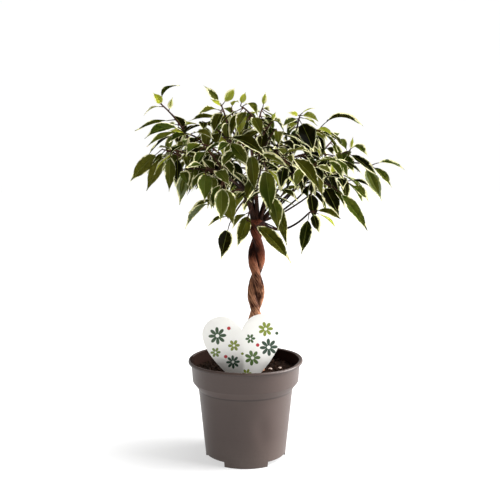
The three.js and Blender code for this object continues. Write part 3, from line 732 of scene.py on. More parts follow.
def leaf_skin(name, dark, mid, olive, grey, cream, rib, young, roughness, ridge):
    """A leaf's face: green with grey-green streaks, inside an irregular cream margin about 1 mm wide."""
    m = material(name)
    where = add(m, "TexCoord").outputs["Object"]
    inset, beside, slant, youth, tone = (
        add(m, "Attribute", attribute_name=measure).outputs["Fac"] for measure in LEAF_MEASURES
    )
    # Patches are about 4 mm across, clouds 13 mm and zones 70 mm.
    patches = add(m, "TexNoise", {"Vector": where, "Scale": 240.0, "Detail": 3.0})
    clouds = add(m, "TexNoise", {"Vector": where, "Scale": 75.0, "Detail": 3.0})
    zones = add(m, "TexNoise", {"Vector": where, "Scale": 14.0, "Detail": 1.0})
    # The margin's width wanders between 0 and about 2 mm.
    edge = add(m, "Math", {0: patches, 1: -4.4, 2: inset}, operation="MULTIPLY_ADD")
    edge = add(m, "Math", {0: clouds, 1: -6.0, 2: edge}, operation="MULTIPLY_ADD")
    margin = add(m, "MapRange", {"Value": edge, "From Min": -4.5, "From Max": -4.8})
    # Streaks run in from the margin, and on the leaves of the palest tone as far as the rib.
    spread = add(m, "MapRange", {"Value": tone, "From Min": 0.88, "From Max": 1.0, "To Max": -5.5})
    inner = add(m, "Math", {0: clouds, 1: -7.0, 2: inset}, operation="MULTIPLY_ADD")
    inner = add(m, "Math", {0: inner, 1: spread})
    streak = add(m, "MapRange", {"Value": inner, "From Min": -2.1, "From Max": -3.2, "To Max": 0.8})
    # The tone sets how dark the green is: each leaf's own tone, with painted shade on leaves inside the
    # crown.
    lit = add(m, "MapRange", {"Value": tone, "From Min": 0.14, "From Max": 0.7})
    green = add(m, "Mix", {FACTOR: lit, FIRST: linear(dark), SECOND: linear(mid)}, data_type="RGBA")
    # Here and there a few leaves together are yellower than the rest.
    dull = add(m, "MapRange", {"Value": zones, "From Min": 0.46, "From Max": 0.6, "To Max": 0.85})
    dull = add(m, "Math", {0: dull, 1: tone}, operation="MULTIPLY")
    green = add(m, "Mix", {FACTOR: dull, FIRST: green, SECOND: linear(olive)}, data_type="RGBA")
    green = add(m, "Mix", {FACTOR: streak, FIRST: green, SECOND: linear(grey)}, data_type="RGBA")
    line = add(m, "MapRange", {"Value": beside, "From Min": 0.4, "From Max": 0.2, "To Max": 0.45})
    green = add(m, "Mix", {FACTOR: line, FIRST: green, SECOND: linear(rib)}, data_type="RGBA")
    fresh = add(m, "Mix", {FACTOR: youth, FIRST: green, SECOND: linear(young)}, data_type="RGBA")
    skin = add(m, "Mix", {FACTOR: margin, FIRST: fresh, SECOND: linear(cream)}, data_type="RGBA")
    # Side veins lie close together and run out to the margin at a slant.
    veins = add(m, "Math", {0: slant}, operation="SINE")
    groove = add(m, "MapRange", {"Value": beside, "From Min": 0.5, "From Max": 0.0})
    relief = add(m, "Math", {0: groove, 1: ridge, 2: veins}, operation="MULTIPLY_ADD")
    shine = add(m, "MapRange", {"Value": clouds, "To Min": roughness - 0.08, "To Max": roughness + 0.12})
    surface = add(m, "BsdfPrincipled", {
        "Base Color": skin,
        "Roughness": shine,
        "Normal": add(m, "Bump", {"Height": relief, "Strength": 0.25, "Distance": 0.00012}),
        "IOR": 1.4,
        "Specular IOR Level": 0.0,
        "Coat Weight": 0.03,
        "Coat Roughness": 0.3,
        "Subsurface Weight": 0.15,
        "Subsurface Radius": (0.7, 1.0, 0.3),
        "Subsurface Scale": 0.0008,
    })
    add(m, "OutputMaterial", {"Surface": surface})
    return m


def bark(name, shades, roughness):
    """Bark: fibres along the stem about 1 mm apart, darker in the furrows, paler where it is rubbed, and
    painted nearly black in the groove between strands as painted shade.
    """
    m = material(name)
    where = add(m, "TexCoord").outputs["Object"]
    grain = add(m, "Attribute", attribute_name="grain").outputs["Vector"]
    crease_shade = add(m, "Attribute", attribute_name="crease_shade").outputs["Fac"]
    height = add(m, "SeparateXYZ", {"Vector": where}).outputs["Z"]
    fibres = add(m, "TexNoise", {"Vector": grain, "Scale": 0.9, "Detail": 5.0, "Roughness": 0.65})
    blotches = add(m, "TexNoise", {"Vector": where, "Scale": 60.0, "Detail": 2.0})
    rise = add(m, "MapRange", {"Value": height, "From Min": PALE_BARK * MM, "From Max": DARK_BARK * MM})
    blend = add(m, "Math", {0: fibres, 1: 0.9, 2: blotches}, operation="MULTIPLY_ADD")
    blend = add(m, "MapRange", {"Value": blend, "From Min": 0.8, "From Max": 1.1})
    low_dark, low_light, high_dark, high_light = (linear(shade) for shade in shades)
    low = add(m, "Mix", {FACTOR: blend, FIRST: low_dark, SECOND: low_light}, data_type="RGBA")
    high = add(m, "Mix", {FACTOR: blend, FIRST: high_dark, SECOND: high_light}, data_type="RGBA")
    skin = add(m, "Mix", {FACTOR: rise, FIRST: low, SECOND: high}, data_type="RGBA")
    # Painted shade: the groove between the strands is painted nearly black.
    skin = add(m, "Mix", {FACTOR: crease_shade, FIRST: skin, SECOND: linear("#1e0703")}, data_type="RGBA")
    surface = add(m, "BsdfPrincipled", {
        "Base Color": skin,
        "Roughness": roughness,
        "Normal": add(m, "Bump", {"Height": fibres, "Strength": 0.7, "Distance": 0.0008}),
        "IOR": 1.5,
        "Specular IOR Level": 0.08,
    })
    add(m, "OutputMaterial", {"Surface": surface})
    return m


def moulded_plastic(name, dark, light, dust, roughness, satin):
    """Injection moulded polypropylene: a satin skin, faintly clouded and scuffed, with painted shade in its
    corners.
    """
    m = material(name)
    where = add(m, "TexCoord").outputs["Object"]
    height = add(m, "SeparateXYZ", {"Vector": where}).outputs["Z"]
    # Clouds are about 45 mm across and scuffs 2 mm.
    clouds = add(m, "TexNoise", {"Vector": where, "Scale": 22.0, "Detail": 3.0})
    scuffs = add(m, "TexNoise", {"Vector": where, "Scale": 420.0, "Detail": 4.0, "Roughness": 0.7})
    skin = add(m, "Mix", {FACTOR: clouds, FIRST: linear(dark), SECOND: linear(light)}, data_type="RGBA")
    # Dust has settled on the lowest 30 mm.
    low = add(m, "MapRange", {"Value": height, "From Min": 0.03, "From Max": 0.0, "To Max": dust})
    low = add(m, "Math", {0: low, 1: scuffs}, operation="MULTIPLY")
    skin = add(m, "Mix", {FACTOR: low, FIRST: skin, SECOND: linear("#665b53")}, data_type="RGBA")
    # The corners under the collar and under the lip are painted darker: painted shade.
    for corner in (SHOULDER_HEIGHT, POT_HEIGHT - LIP_HEIGHT):
        off = add(m, "Math", {0: height, 1: corner * MM}, operation="SUBTRACT")
        off = add(m, "Math", {0: off}, operation="ABSOLUTE")
        corner_shade = {"Value": off, "From Min": 0.0003, "From Max": 0.0012, "To Min": 0.6, "To Max": 0.0}
        corner_shade = add(m, "MapRange", corner_shade)
        skin = add(m, "Mix", {FACTOR: corner_shade, FIRST: skin, SECOND: linear("#1a100c")}, data_type="RGBA")
    shine = add(m, "MapRange", {"Value": scuffs, "To Min": roughness - 0.07, "To Max": roughness + 0.07})
    surface = add(m, "BsdfPrincipled", {
        "Base Color": skin,
        "Roughness": shine,
        "Normal": add(m, "Bump", {"Height": scuffs, "Strength": 0.12, "Distance": 0.0002}),
        "IOR": 1.49,
        "Specular IOR Level": satin,
    })
    add(m, "OutputMaterial", {"Surface": surface})
    return m


def peat(name, dark, light):
    """Peat compost: matt where moist, with brown fibre and crumbs 1 to 3 mm across. Bark chips are paler."""
    m = material(name)
    where = add(m, "TexCoord").outputs["Object"]
    tone = add(m, "Attribute", attribute_name="tone").outputs["Fac"]
    grit = add(m, "TexNoise", {"Vector": where, "Scale": 650.0, "Detail": 5.0, "Roughness": 0.7})
    both = add(m, "Math", {0: grit, 1: tone}, operation="MULTIPLY")
    shade = add(m, "MapRange", {"Value": both, "From Min": 0.1, "From Max": 0.6})
    skin = add(m, "Mix", {FACTOR: shade, FIRST: linear(dark), SECOND: linear(light)}, data_type="RGBA")
    surface = add(m, "BsdfPrincipled", {
        "Base Color": skin,
        "Roughness": 0.85,
        "Normal": add(m, "Bump", {"Height": grit, "Strength": 0.8, "Distance": 0.0008}),
        "IOR": 1.4,
        "Specular IOR Level": 0.12,
    })
    add(m, "OutputMaterial", {"Surface": surface})
    return m


def rosette(m, where, tilt, x, z, size, petals):
    """Where ink lies for one rosette, or for one round berry when it has no petals."""
    right, above = turned(x, z, tilt)
    spot = add(m, "Mapping", {
        "Vector": where,
        "Location": (right * MM, LABEL_Y * MM, (above + HEART_TIP) * MM),
        "Rotation": (0.0, -tilt, 0.0),
        "Scale": (size * MM, 1.0, size * MM),
    }, vector_type="TEXTURE")
    out = add(m, "VectorMath", {0: spot}, operation="LENGTH")
    parts = add(m, "SeparateXYZ", {"Vector": spot}).outputs
    angle = add(m, "Math", {0: parts["Z"], 1: parts["X"]}, operation="ARCTAN2")
    beat = add(m, "Math", {0: angle, 1: petals / 2}, operation="MULTIPLY")
    wave = add(m, "Math", {0: beat}, operation="COSINE")
    petal = add(m, "Math", {0: wave}, operation="ABSOLUTE")
    petal = add(m, "Math", {0: petal, 1: 0.6}, operation="POWER")
    shape = add(m, "Math", {0: petal, 1: -0.8, 2: out}, operation="MULTIPLY_ADD")
    inked = add(m, "MapRange", {"Value": shape, "From Min": 0.23, "From Max": 0.17})
    heart = add(m, "MapRange", {"Value": out, "From Min": 0.18, "From Max": 0.22})
    return add(m, "Math", {0: inked, 1: heart if petals else 1.0}, operation="MULTIPLY")


def printed_card():
    """Coated white card, offset printed on the front with plain rosettes and berries in crisp flat inks."""
    m = material("printed_coated_card")
    where = add(m, "TexCoord").outputs["Object"]
    mottle = add(m, "TexNoise", {"Vector": where, "Scale": 90.0, "Detail": 2.0})
    shades = {FACTOR: mottle, FIRST: linear("#f3f1ea"), SECOND: linear("#faf9f5")}
    card = printed = add(m, "Mix", shades, data_type="RGBA")
    for x, z, size, petals, ink in ROSETTES:
        inked = rosette(m, where, math.radians(LABEL_TILT), x, z, size, petals)
        printed = add(m, "Mix", {FACTOR: inked, FIRST: printed, SECOND: linear(ink)}, data_type="RGBA")
    depth = add(m, "SeparateXYZ", {"Vector": where}).outputs["Y"]
    middle = LABEL_Y * MM
    face = add(m, "MapRange", {"Value": depth, "From Min": middle, "From Max": middle - 0.0003})
    surface = add(m, "BsdfPrincipled", {
        "Base Color": add(m, "Mix", {FACTOR: face, FIRST: card, SECOND: printed}, data_type="RGBA"),
        "Roughness": 0.35,
        "IOR": 1.5,
    })
    add(m, "OutputMaterial", {"Surface": surface})
    return m


def tube(bm, sides, steps, shape):
    """A closed tube. shape moves each point to its place, given its angle and its share of the length."""
    points = bmesh.ops.create_circle(bm, cap_ends=True, segments=sides, radius=1)["verts"]
    edges = list({edge for point in points for edge in point.link_edges})
    for i in range(steps):
        made = bmesh.ops.extrude_edge_only(bm, edges=edges)["geom"]
        ring = {part for part in made if isinstance(part, bmesh.types.BMVert)}
        edges = [part for part in made if isinstance(part, bmesh.types.BMEdge)]
        edges = [edge for edge in edges if ring.issuperset(edge.verts)]
        for point in ring:
            point.co.z = (i + 1) / steps
        points += ring
    bmesh.ops.edgeloop_fill(bm, edges=edges)
    for point in points:
        shape(point, math.atan2(point.co.y, point.co.x), point.co.z)
    return points


def faces_of(points):
    return {face for point in points for face in point.link_faces}


def sheet_layers(bm):
    """The measures that leaf and bark patterns follow, kept at each point of a piece."""
    layers = {name: bm.verts.layers.float.new(name) for name in (*LEAF_MEASURES, "crease_shade")}
    layers["grain"] = bm.verts.layers.float_vector.new("grain")
    return layers


def add_blade(bm, layers, leaf, youth, tone, phase, twist, hook, cream):
    """A folded, waved and twisted leaf blade. Its upper and under faces share a margin and lie together."""
    upper = bmesh.ops.create_grid(bm, x_segments=BLADE_COLUMNS, y_segments=BLADE_ROWS, size=1)["verts"]
    made = bmesh.ops.duplicate(bm, geom=upper + list(faces_of(upper)))["geom"]
    under = [part for part in made if isinstance(part, bmesh.types.BMVert)]
    for face in faces_of(under):
        face.material_index = 1
    bmesh.ops.reverse_faces(bm, faces=list(faces_of(under)))
    fold = math.radians(BLADE_FOLD)
    margin = []
    for point in upper + under:
        u, r = point.co.x, (point.co.y + 1) / 2
        share = 0.7 * r + 0.3 * (0.5 - 0.5 * math.cos(math.pi * r))
        t = PETIOLE_SHARE + (BLADE_END - PETIOLE_SHARE) * share
        narrowed = 1 - DRIP_TIP * smooth(share, 0.68, 0.95)
        half = max(leaf.width / 2 * outline(share) * narrowed, 0.2)
        turn = twist * share * share
        side = leaf.side * math.cos(turn) + leaf.up(t) * math.sin(turn)
        up = leaf.up(t) * math.cos(turn) - leaf.side * math.sin(turn)
        nudge = BLADE_NUDGE * side
        if abs(u) > 0.99 or not 0.01 < r < 0.99:
            margin.append(point)
            nudge = 0
        beat = math.sin(FULL_TURN * (1.7 * share + phase + 0.3 * (u > 0)))
        wave = BLADE_WAVE * leaf.width * beat * u * u
        lift = half * math.sin(fold) * (1.2 * abs(u) - 0.2 * u * u) + wave + nudge
        aside = hook * leaf.length * smooth(share, 0.45, 1.3)
        place = leaf.curve.at(t) + side * (half * u * math.cos(fold) + aside) + up * lift
        point.co = np.clip(place * MM, cad_box[0], cad_box[1])
        point[layers["inset"]] = half * (1 - abs(u)) - cream * (1 if u > 0 else -1)
        point[layers["beside"]] = half * abs(u)
        slant = share * leaf.length - 0.7 * half * abs(u)
        point[layers["vein"]] = slant * 2 * math.pi / VEIN_SPACING
        point[layers["youth"]] = youth
        point[layers["tone"]] = tone
    bmesh.ops.remove_doubles(bm, verts=margin, dist=2e-6)


def add_stalk(bm, layers, curve, side, sides, steps, radius, span, youth):
    """A round stalk along a stretch of a curve, with its radius and its greenness given along it."""

    def shape(point, angle, share):
        t = span[0] + (span[1] - span[0]) * share
        point.co = (curve.at(t) + spoke(curve, side, t, angle) * radius(share)) * MM
        point[layers["grain"]] = (2 * math.cos(angle), 2 * math.sin(angle), 1.5 * share)
        point[layers["youth"]] = youth(share)

    for face in faces_of(tube(bm, sides, steps, shape)):
        face.material_index = 2


def put(name, data):
    """Puts an object into the scene."""
    made = bpy.data.objects.new(name, data)
    bpy.context.scene.collection.objects.link(made)
    return made


def settled(name, bm):
    """Turns a bmesh into an object of the scene."""
    mesh = bpy.data.meshes.new(name)
    bm.to_mesh(mesh)
    bm.free()
    return put(name, mesh)


def piece(name, bm, finishes, node, crisp=35):
    """Makes a piece of the object from a bmesh, with smooth faces, crisp corners and its finishes."""
    bmesh.ops.recalc_face_normals(bm, faces=bm.faces[:])
    for face in bm.faces:
        face.smooth = True
    for edge in bm.edges:
        edge.smooth = not edge.is_manifold or edge.calc_face_angle(0) < math.radians(crisp)
    made = settled(name, bm)
    for finish in finishes:
        made.data.materials.append(finish)
    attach(made, "root")
    if node:
        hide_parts(node)


def stem_radius(share):
    return (STEM_THICK + (STEM_THIN - STEM_THICK) * share) * (1 - 0.55 * smooth(share, 0.93, 1))


def petiole_radius(share):
    return PETIOLE_RADIUS * (1 - 0.35 * share)


def build_leaf(bm, layers, leaf, draw):
    youth = smooth(FRESH_LENGTH - leaf.length, 0, 11) * (0.75 + 0.25 * next(draw)) * (leaf.up(0.5)[1] < 0.5)
    tone, phase = next(draw), next(draw)
    twist, hook = 1.1 * (next(draw) - 0.5), 0.09 * (next(draw) - 0.5)
    late = next(draw)
    cream = 1.4 * (late - 0.5)
    # A few of the smaller leaves all through the crown came late and are still fresh.
    if late > LATE and leaf.length < LATE_LENGTH:
        youth = 0.8
    # Leaves near the heart of the crown are painted darker: painted shade inside the crown.
    heart = (leaf.centre - CROWN_HEART) / CROWN_REACH
    tone *= 0.12 + 0.88 * smooth(np.linalg.norm(heart), 0.4, 0.95)
    add_blade(bm, layers, leaf, youth, tone, phase, twist, hook, cream)
    span = (-0.02, PETIOLE_SHARE + 0.03)
    add_stalk(bm, layers, leaf.curve, leaf.side, 5, 3, petiole_radius, span, lambda share: 0.75)


def build_shoots(stems, grown, finishes):
    for owner, curve in enumerate(stems):
        bm = bmesh.new()
        layers = sheet_layers(bm)
        draw = draws(LOOK_SEED + owner)
        add_stalk(bm, layers, curve, curve.across(), STEM_SIDES, STEM_STEPS, stem_radius, (-0.03, 1.01),
                  lambda share: 0.8 * smooth(share, 0.35, 1))
        for leaf in grown:
            if leaf.owner == owner:
                build_leaf(bm, layers, leaf, draw)
        number = str(owner + 1).zfill(2)
        piece("shoot_" + number, bm, finishes, "leafy_shoot_" + number)


def trunk_radius(local, z):
    """How far the skin lies from the axis: two round strands side by side with a thin third between."""
    across = STRAND_OFFSET * math.sin(local)
    lobes = STRAND_OFFSET * abs(math.cos(local)) + math.sqrt(STRAND_RADIUS**2 - across**2)
    radius = lobes + THIRD_STRAND * math.exp(-((math.cos(local) / THIRD_STRAND_WIDE) ** 2))
    radius += (COLLAR_OF_ROOTS - radius) * smooth(ROOTS_TOP - z, 0, 20)
    return radius + (KNUCKLE_RADIUS - radius) * smooth(z, TRUNK_TOP - 7, TRUNK_TOP)


def build_trunk(limbs, finishes):
    bm = bmesh.new()
    layers = sheet_layers(bm)

    def shape(point, angle, share):
        z = TRUNK_FOOT + (TRUNK_TOP - TRUNK_FOOT) * share
        centre = TRUNK_FOOT_X + (TRUNK_TOP_X - TRUNK_FOOT_X) * share
        local = angle - math.pi / 2 + 2 * math.pi * (z - PINCH_HEIGHT) / STRAND_TURN
        radius = trunk_radius(local, z)
        grain = Vector((radius * math.cos(local), radius * math.sin(local), 0.1 * z))
        radius += 0.55 * noise.noise(grain * 0.55) + 0.25 * noise.noise(grain * 1.4)
        point.co = Vector((centre + radius * math.cos(angle), radius * math.sin(angle), z)) * MM
        point[layers["grain"]] = grain
        # The groove between the two strands is painted dark: painted shade.
        between = math.exp(-((math.cos(local) / CREASE_WIDE) ** 2)) * smooth(TRUNK_TOP - z, 8, 20)
        point[layers["crease_shade"]] = between * (0.85 + 0.6 * noise.noise(grain * 0.4))

    tube(bm, TRUNK_SIDES, TRUNK_STEPS, shape)
    draw = draws(TWIN_SEED)
    for curve in limbs:
        add_limb(bm, layers, curve, LIMB_THICK, LIMB_THIN)
        add_limb(bm, layers, twin_of(curve, draw), TWIN_THICK, TWIN_THIN)
    for bend, end in TWIGS:
        add_limb(bm, layers, Bend(KNUCKLE, bend, end), TWIG_THICK, TWIG_THIN)
    add_limb(bm, layers, Bend(*STUB), STUB_THICK, STUB_THIN)
    head = bmesh.ops.create_uvsphere(bm, u_segments=32, v_segments=16, radius=KNUCKLE_RADIUS)["verts"]
    for point in head:
        knobs = 1 + 0.09 * noise.noise(point.co * 0.35)
        point[layers["grain"]] = (point.co.x, point.co.y, 0.3 * point.co.z)
        high = point.co.z * KNUCKLE_SQUASH + KNUCKLE[2] + KNUCKLE_RISE
        point.co = Vector((point.co.x * knobs + KNUCKLE[0], point.co.y * knobs, high)) * MM
    piece("twisted_trunk_bark", bm, finishes, "twisted_trunk")


def twin_of(limb, draw):
    """A thin stem that rises from the fork beside a limb and grows into it further on."""
    start, end = np.array(KNUCKLE, float), limb.at(0.34 + 0.2 * next(draw))
    swing = 1.5 * (next(draw) - 0.5)
    out = limb.a - start
    root = start + [*turned(out[0], out[1], swing), 1]
    return Bend(root, limb.at(0.16) + (root - limb.a) * 0.8 + UP * 3, end)


def add_limb(bm, layers, curve, thick, thin):
    side = curve.across()

    def shape(point, angle, share):
        t = share * 1.005
        grain = Vector((2 * math.cos(angle), 2 * math.sin(angle), 5 * share + curve.c[0]))
        swelling = 1 + 0.16 * noise.noise(grain * 0.8) + 0.6 * (1 - share) ** 9
        radius = (thick + (thin - thick) * share) * swelling
        point.co = (curve.at(t) + spoke(curve, side, t, angle) * radius) * MM
        point[layers["grain"]] = grain

    for face in faces_of(tube(bm, LIMB_SIDES, LIMB_STEPS, shape)):
        face.material_index = 1


def spun(bm, profile):
    """Turns a profile of radius and height round the upright axis."""
    points = [bm.verts.new(Vector((radius, 0, z)) * MM) for radius, z in profile]
    edges = [bm.edges.new(pair) for pair in zip(points, points[1:])]
    bmesh.ops.spin(bm, geom=points + edges, cent=(0, 0, 0), axis=(0, 0, 1), dvec=(0, 0, 0),
                   angle=2 * math.pi, steps=POT_STEPS, use_merge=True, use_duplicate=False)
    bmesh.ops.remove_doubles(bm, verts=bm.verts[:], dist=1e-6)
    bmesh.ops.recalc_face_normals(bm, faces=bm.faces[:])


def pot_cutter():
    """What is cut from the pot's foot: three wide notches in its ring and a drain hole behind each."""
    bm = bmesh.new()
    for i in range(3):
        middle = math.radians(FRONT_FOOT_ANGLE + 60 + 120 * i)
        edge = math.radians(NOTCH_HALF_ANGLE)
        wedge = bmesh.ops.create_cone(bm, cap_ends=True, segments=4, radius1=1, radius2=1, depth=1)["verts"]
        corners = ((NOTCH_WIDE, -edge), (NOTCH_WIDE, edge), (NOTCH_DEEP, edge), (NOTCH_DEEP, -edge))
        for point in wedge:
            quarter = round(math.atan2(point.co.y, point.co.x) / (math.pi / 2)) % 4
            radius, aside = corners[quarter]
            z = NOTCH_HEIGHT if point.co.z > 0 else -3
            point.co = Vector((*turned(radius, 0, middle + aside), z)) * MM
        drain = bmesh.ops.create_cone(bm, cap_ends=True, segments=24, radius1=DRAIN_RADIUS * MM,
                                      radius2=DRAIN_RADIUS * MM, depth=6 * MM)["verts"]
        spot = Vector((*turned(DRAIN_CENTRE, 0, middle), FLOOR_TOP)) * MM
        bmesh.ops.translate(bm, verts=drain, vec=spot)
    bmesh.ops.recalc_face_normals(bm, faces=bm.faces[:])
    return settled("pot_cutter", bm)


def wall_radius(height):
    """The outer radius of the pot at a height."""
    if height < SHOULDER_HEIGHT:
        return FOOT_RADIUS + FOOT_SLOPE * height
    if height < COLLAR_FOOT_HEIGHT:
        share = (height - SHOULDER_HEIGHT) / (COLLAR_FOOT_HEIGHT - SHOULDER_HEIGHT)
        return SHOULDER_RADIUS + (COLLAR_FOOT_RADIUS - SHOULDER_RADIUS) * share
    share = (height - COLLAR_FOOT_HEIGHT) / (POT_HEIGHT - LIP_HEIGHT - COLLAR_FOOT_HEIGHT)
    return COLLAR_FOOT_RADIUS + (COLLAR_TOP_RADIUS - COLLAR_FOOT_RADIUS) * min(share, 1)


def build_pot(finishes):
    bm = bmesh.new()
    spun(bm, [
        (0, 0),
        (CENTRE_DISC_RADIUS, 0),
        (CENTRE_DISC_RADIUS + 0.6, FLOOR_UNDERSIDE),
        (FOOT_RADIUS - FOOT_RING_WIDTH, FLOOR_UNDERSIDE),
        (FOOT_RADIUS - FOOT_RING_WIDTH, 0),
        (FOOT_RADIUS, 0),
        *[(FOOT_RADIUS + FOOT_SLOPE * height, height) for height in range(11, 71, 5)],
        (SHOULDER_RADIUS, SHOULDER_HEIGHT),
        (COLLAR_FOOT_RADIUS, COLLAR_FOOT_HEIGHT),
        (COLLAR_TOP_RADIUS, POT_HEIGHT - LIP_HEIGHT),
        (LIP_RADIUS - 0.5, POT_HEIGHT - LIP_HEIGHT),
        (LIP_RADIUS, POT_HEIGHT - LIP_HEIGHT + 1),
        (LIP_RADIUS - 0.3, POT_HEIGHT - 0.8),
        (LIP_RADIUS - 1.4, POT_HEIGHT),
        (COLLAR_TOP_RADIUS - WALL, POT_HEIGHT - 1),
        (wall_radius(POT_HEIGHT - 4) - WALL, POT_HEIGHT - 4),
        (COLLAR_FOOT_RADIUS - WALL, COLLAR_FOOT_HEIGHT + 0.5),
        (SHOULDER_RADIUS - WALL, SHOULDER_HEIGHT + 0.5),
        (FOOT_RADIUS - WALL + FOOT_SLOPE * FLOOR_TOP, FLOOR_TOP),
        (0, FLOOR_TOP),
    ])
    corners = [edge for edge in bm.edges if edge.calc_face_angle(0) > math.radians(18)]
    bmesh.ops.bevel(bm, geom=corners, offset=EDGE_ROUNDING * MM, segments=2, profile=0.5, affect="EDGES",
                    material=-1, clamp_overlap=True)
    # The thin wall isn't quite round, and it is pressed in a little low on the right of the front.
    for point in bm.verts:
        angle = math.atan2(point.co.y, point.co.x)
        height = point.co.z / MM
        out = OUT_OF_ROUND * math.sin(2 * angle + 0.6) + 0.25 * math.sin(5 * angle)
        out = smooth(height, 20, POT_HEIGHT) * out - OUT_OF_ROUND
        for turn, middle, tall, deep in DENTS:
            beside = (angle - math.radians(turn)) / DENT_WIDE
            out -= deep * math.exp(-(beside**2) - ((height - middle) / tall) ** 2)
        # The middle of the floor and the disc below it stay round.
        level = math.hypot(point.co.x, point.co.y)
        if level > NOTCH_DEEP * MM:
            point.co.xy *= 1 + out * MM / level
        if height > POT_HEIGHT - LIP_HEIGHT - 0.5:
            point.co.z += OUT_OF_ROUND * MM * (math.sin(3 * angle + 1) - 1)
    whole = settled("pot_whole", bm)
    cutter = pot_cutter()
    cut = whole.modifiers.new("notches", "BOOLEAN")
    cut.operation = "DIFFERENCE"
    cut.object = cutter
    bm = bmesh.new()
    bm.from_object(whole, bpy.context.evaluated_depsgraph_get())
    for spare in (whole, cutter):
        bpy.data.objects.remove(spare)
    # The inner wall is painted nearly black up to the lip: painted shade inside the pot.
    for face in bm.faces:
        middle = face.calc_center_median()
        if face.normal.xy @ middle.xy < 0 and FLOOR_TOP < middle.z / MM < POT_HEIGHT - 1:
            face.material_index = 1
    piece("nursery_pot", bm, finishes, "pot", crisp=32)


def build_soil(finish, chip_finish):
    inside = WALL + SOIL_GAP + OUT_OF_ROUND
    top = COLLAR_FOOT_RADIUS + 0.6 - inside
    profile = [
        (0, FLOOR_TOP + SOIL_GAP),
        (FOOT_RADIUS + FOOT_SLOPE * FLOOR_TOP - inside, FLOOR_TOP + SOIL_GAP),
        (SHOULDER_RADIUS - inside, SHOULDER_HEIGHT + 0.5),
        (COLLAR_FOOT_RADIUS - inside, COLLAR_FOOT_HEIGHT + 1),
    ]
    profile += [(top * (1 - i / SOIL_RINGS), SOIL_HEIGHT) for i in range(SOIL_RINGS + 1)]
    bm = bmesh.new()
    layers = sheet_layers(bm)
    spun(bm, profile)
    for point in bm.verts:
        point[layers["tone"]] = 0.55
        if point.co.z > 0.9 * SOIL_HEIGHT * MM:
            spot = point.co / MM
            relief = noise.noise(spot * 0.16) + 0.5 * noise.noise(spot * 0.4)
            rough = 0.55 * noise.noise(spot * 1.1)
            point.co.z += (SOIL_RELIEF * relief + rough - 0.4) * MM
    piece("compost_bed", bm, [finish], "soil", crisp=80)
    build_crumbs(finish, top - 2)
    build_chips(chip_finish)


def build_crumbs(finish, reach):
    bm = bmesh.new()
    layers = sheet_layers(bm)
    draw = draws(CRUMB_SEED)
    for i in range(CRUMBS + LONG_CRUMBS):
        angle, out = 2 * math.pi * next(draw), reach * math.sqrt(next(draw))
        x, y = turned(out, 0, angle)
        size = 0.7 + 1.5 * next(draw) ** 2.5
        turn = Euler((CRUMB_TURN * next(draw), CRUMB_TURN * next(draw), CRUMB_TURN * next(draw)))
        tone = next(draw)
        if math.hypot(x - TRUNK_FOOT_X, y) < COLLAR_OF_ROOTS + 1:
            continue
        long = 1.3 if i < CRUMBS else 3.2
        if i >= CRUMBS:
            turn = Euler((0.3 * turn.x / CRUMB_TURN, 0.3 * turn.y / CRUMB_TURN, turn.z))
        lump = bmesh.ops.create_icosphere(bm, subdivisions=1, radius=1)["verts"]
        bmesh.ops.scale(bm, verts=lump, vec=(size * long * MM, size * MM, 0.7 * size / long * 1.3 * MM))
        bmesh.ops.rotate(bm, verts=lump, matrix=turn.to_matrix())
        bmesh.ops.translate(bm, verts=lump, vec=Vector((x, y, SOIL_HEIGHT + 0.1)) * MM)
        for point in lump:
            point[layers["tone"]] = 0.5 + 0.7 * tone
    piece("compost_crumbs", bm, [finish], None, crisp=60)


def build_chips(finish):
    bm = bmesh.new()
    layers = sheet_layers(bm)
    for x, y, long, turn in PALE_CHIPS:
        chip = bmesh.ops.create_icosphere(bm, subdivisions=2, radius=1)["verts"]
        for point in chip:
            point.co *= 1 + 0.25 * noise.noise(point.co * 2 + Vector((x, 0, 0)))
            point[layers["tone"]] = 0.9
        bmesh.ops.scale(bm, verts=chip, vec=(long * MM, 1.3 * MM, 1.0 * MM))
        bmesh.ops.rotate(bm, verts=chip, matrix=Matrix.Rotation(turn, 3, "Z"))
        bmesh.ops.translate(bm, verts=chip, vec=Vector((x, y, SOIL_HEIGHT + 0.9)) * MM)
    piece("pale_chips", bm, [finish], None, crisp=60)


def heart_point(share):
    """A point of the heart and stake's outline in the sheet, from the notch clockwise round to the notch."""
    mirrored = share > 0.5
    share = 2 * (1 - share if mirrored else share)
    lobe, wide, stake = HEART_HALF_WIDTH / 2, HEART_HALF_WIDTH, STAKE_HALF_WIDTH
    arcs = [
        [(0, HEART_NOTCH), (3, 68), (11, HEART_HEIGHT), (lobe, HEART_HEIGHT)],
        [(lobe, HEART_HEIGHT), (lobe + 11, HEART_HEIGHT), (wide, 67), (wide, 56)],
        [(wide, 56), (wide, 42), (26, 20), (stake, 2)],
        [(stake, 2), (stake, -8), (stake, -18), (stake, 6 - STAKE_LENGTH)],
        [(stake, 6 - STAKE_LENGTH), (2, 3 - STAKE_LENGTH), (1, 1 - STAKE_LENGTH), (0, -STAKE_LENGTH)],
    ]
    place = share * len(arcs)
    k = min(int(place), len(arcs) - 1)
    t = place - k
    weights = ((1 - t) ** 3, 3 * t * (1 - t) ** 2, 3 * t * t * (1 - t), t**3)
    x = sum(w * point[0] for w, point in zip(weights, arcs[k]))
    z = sum(w * point[1] for w, point in zip(weights, arcs[k]))
    return (-x if mirrored else x), z


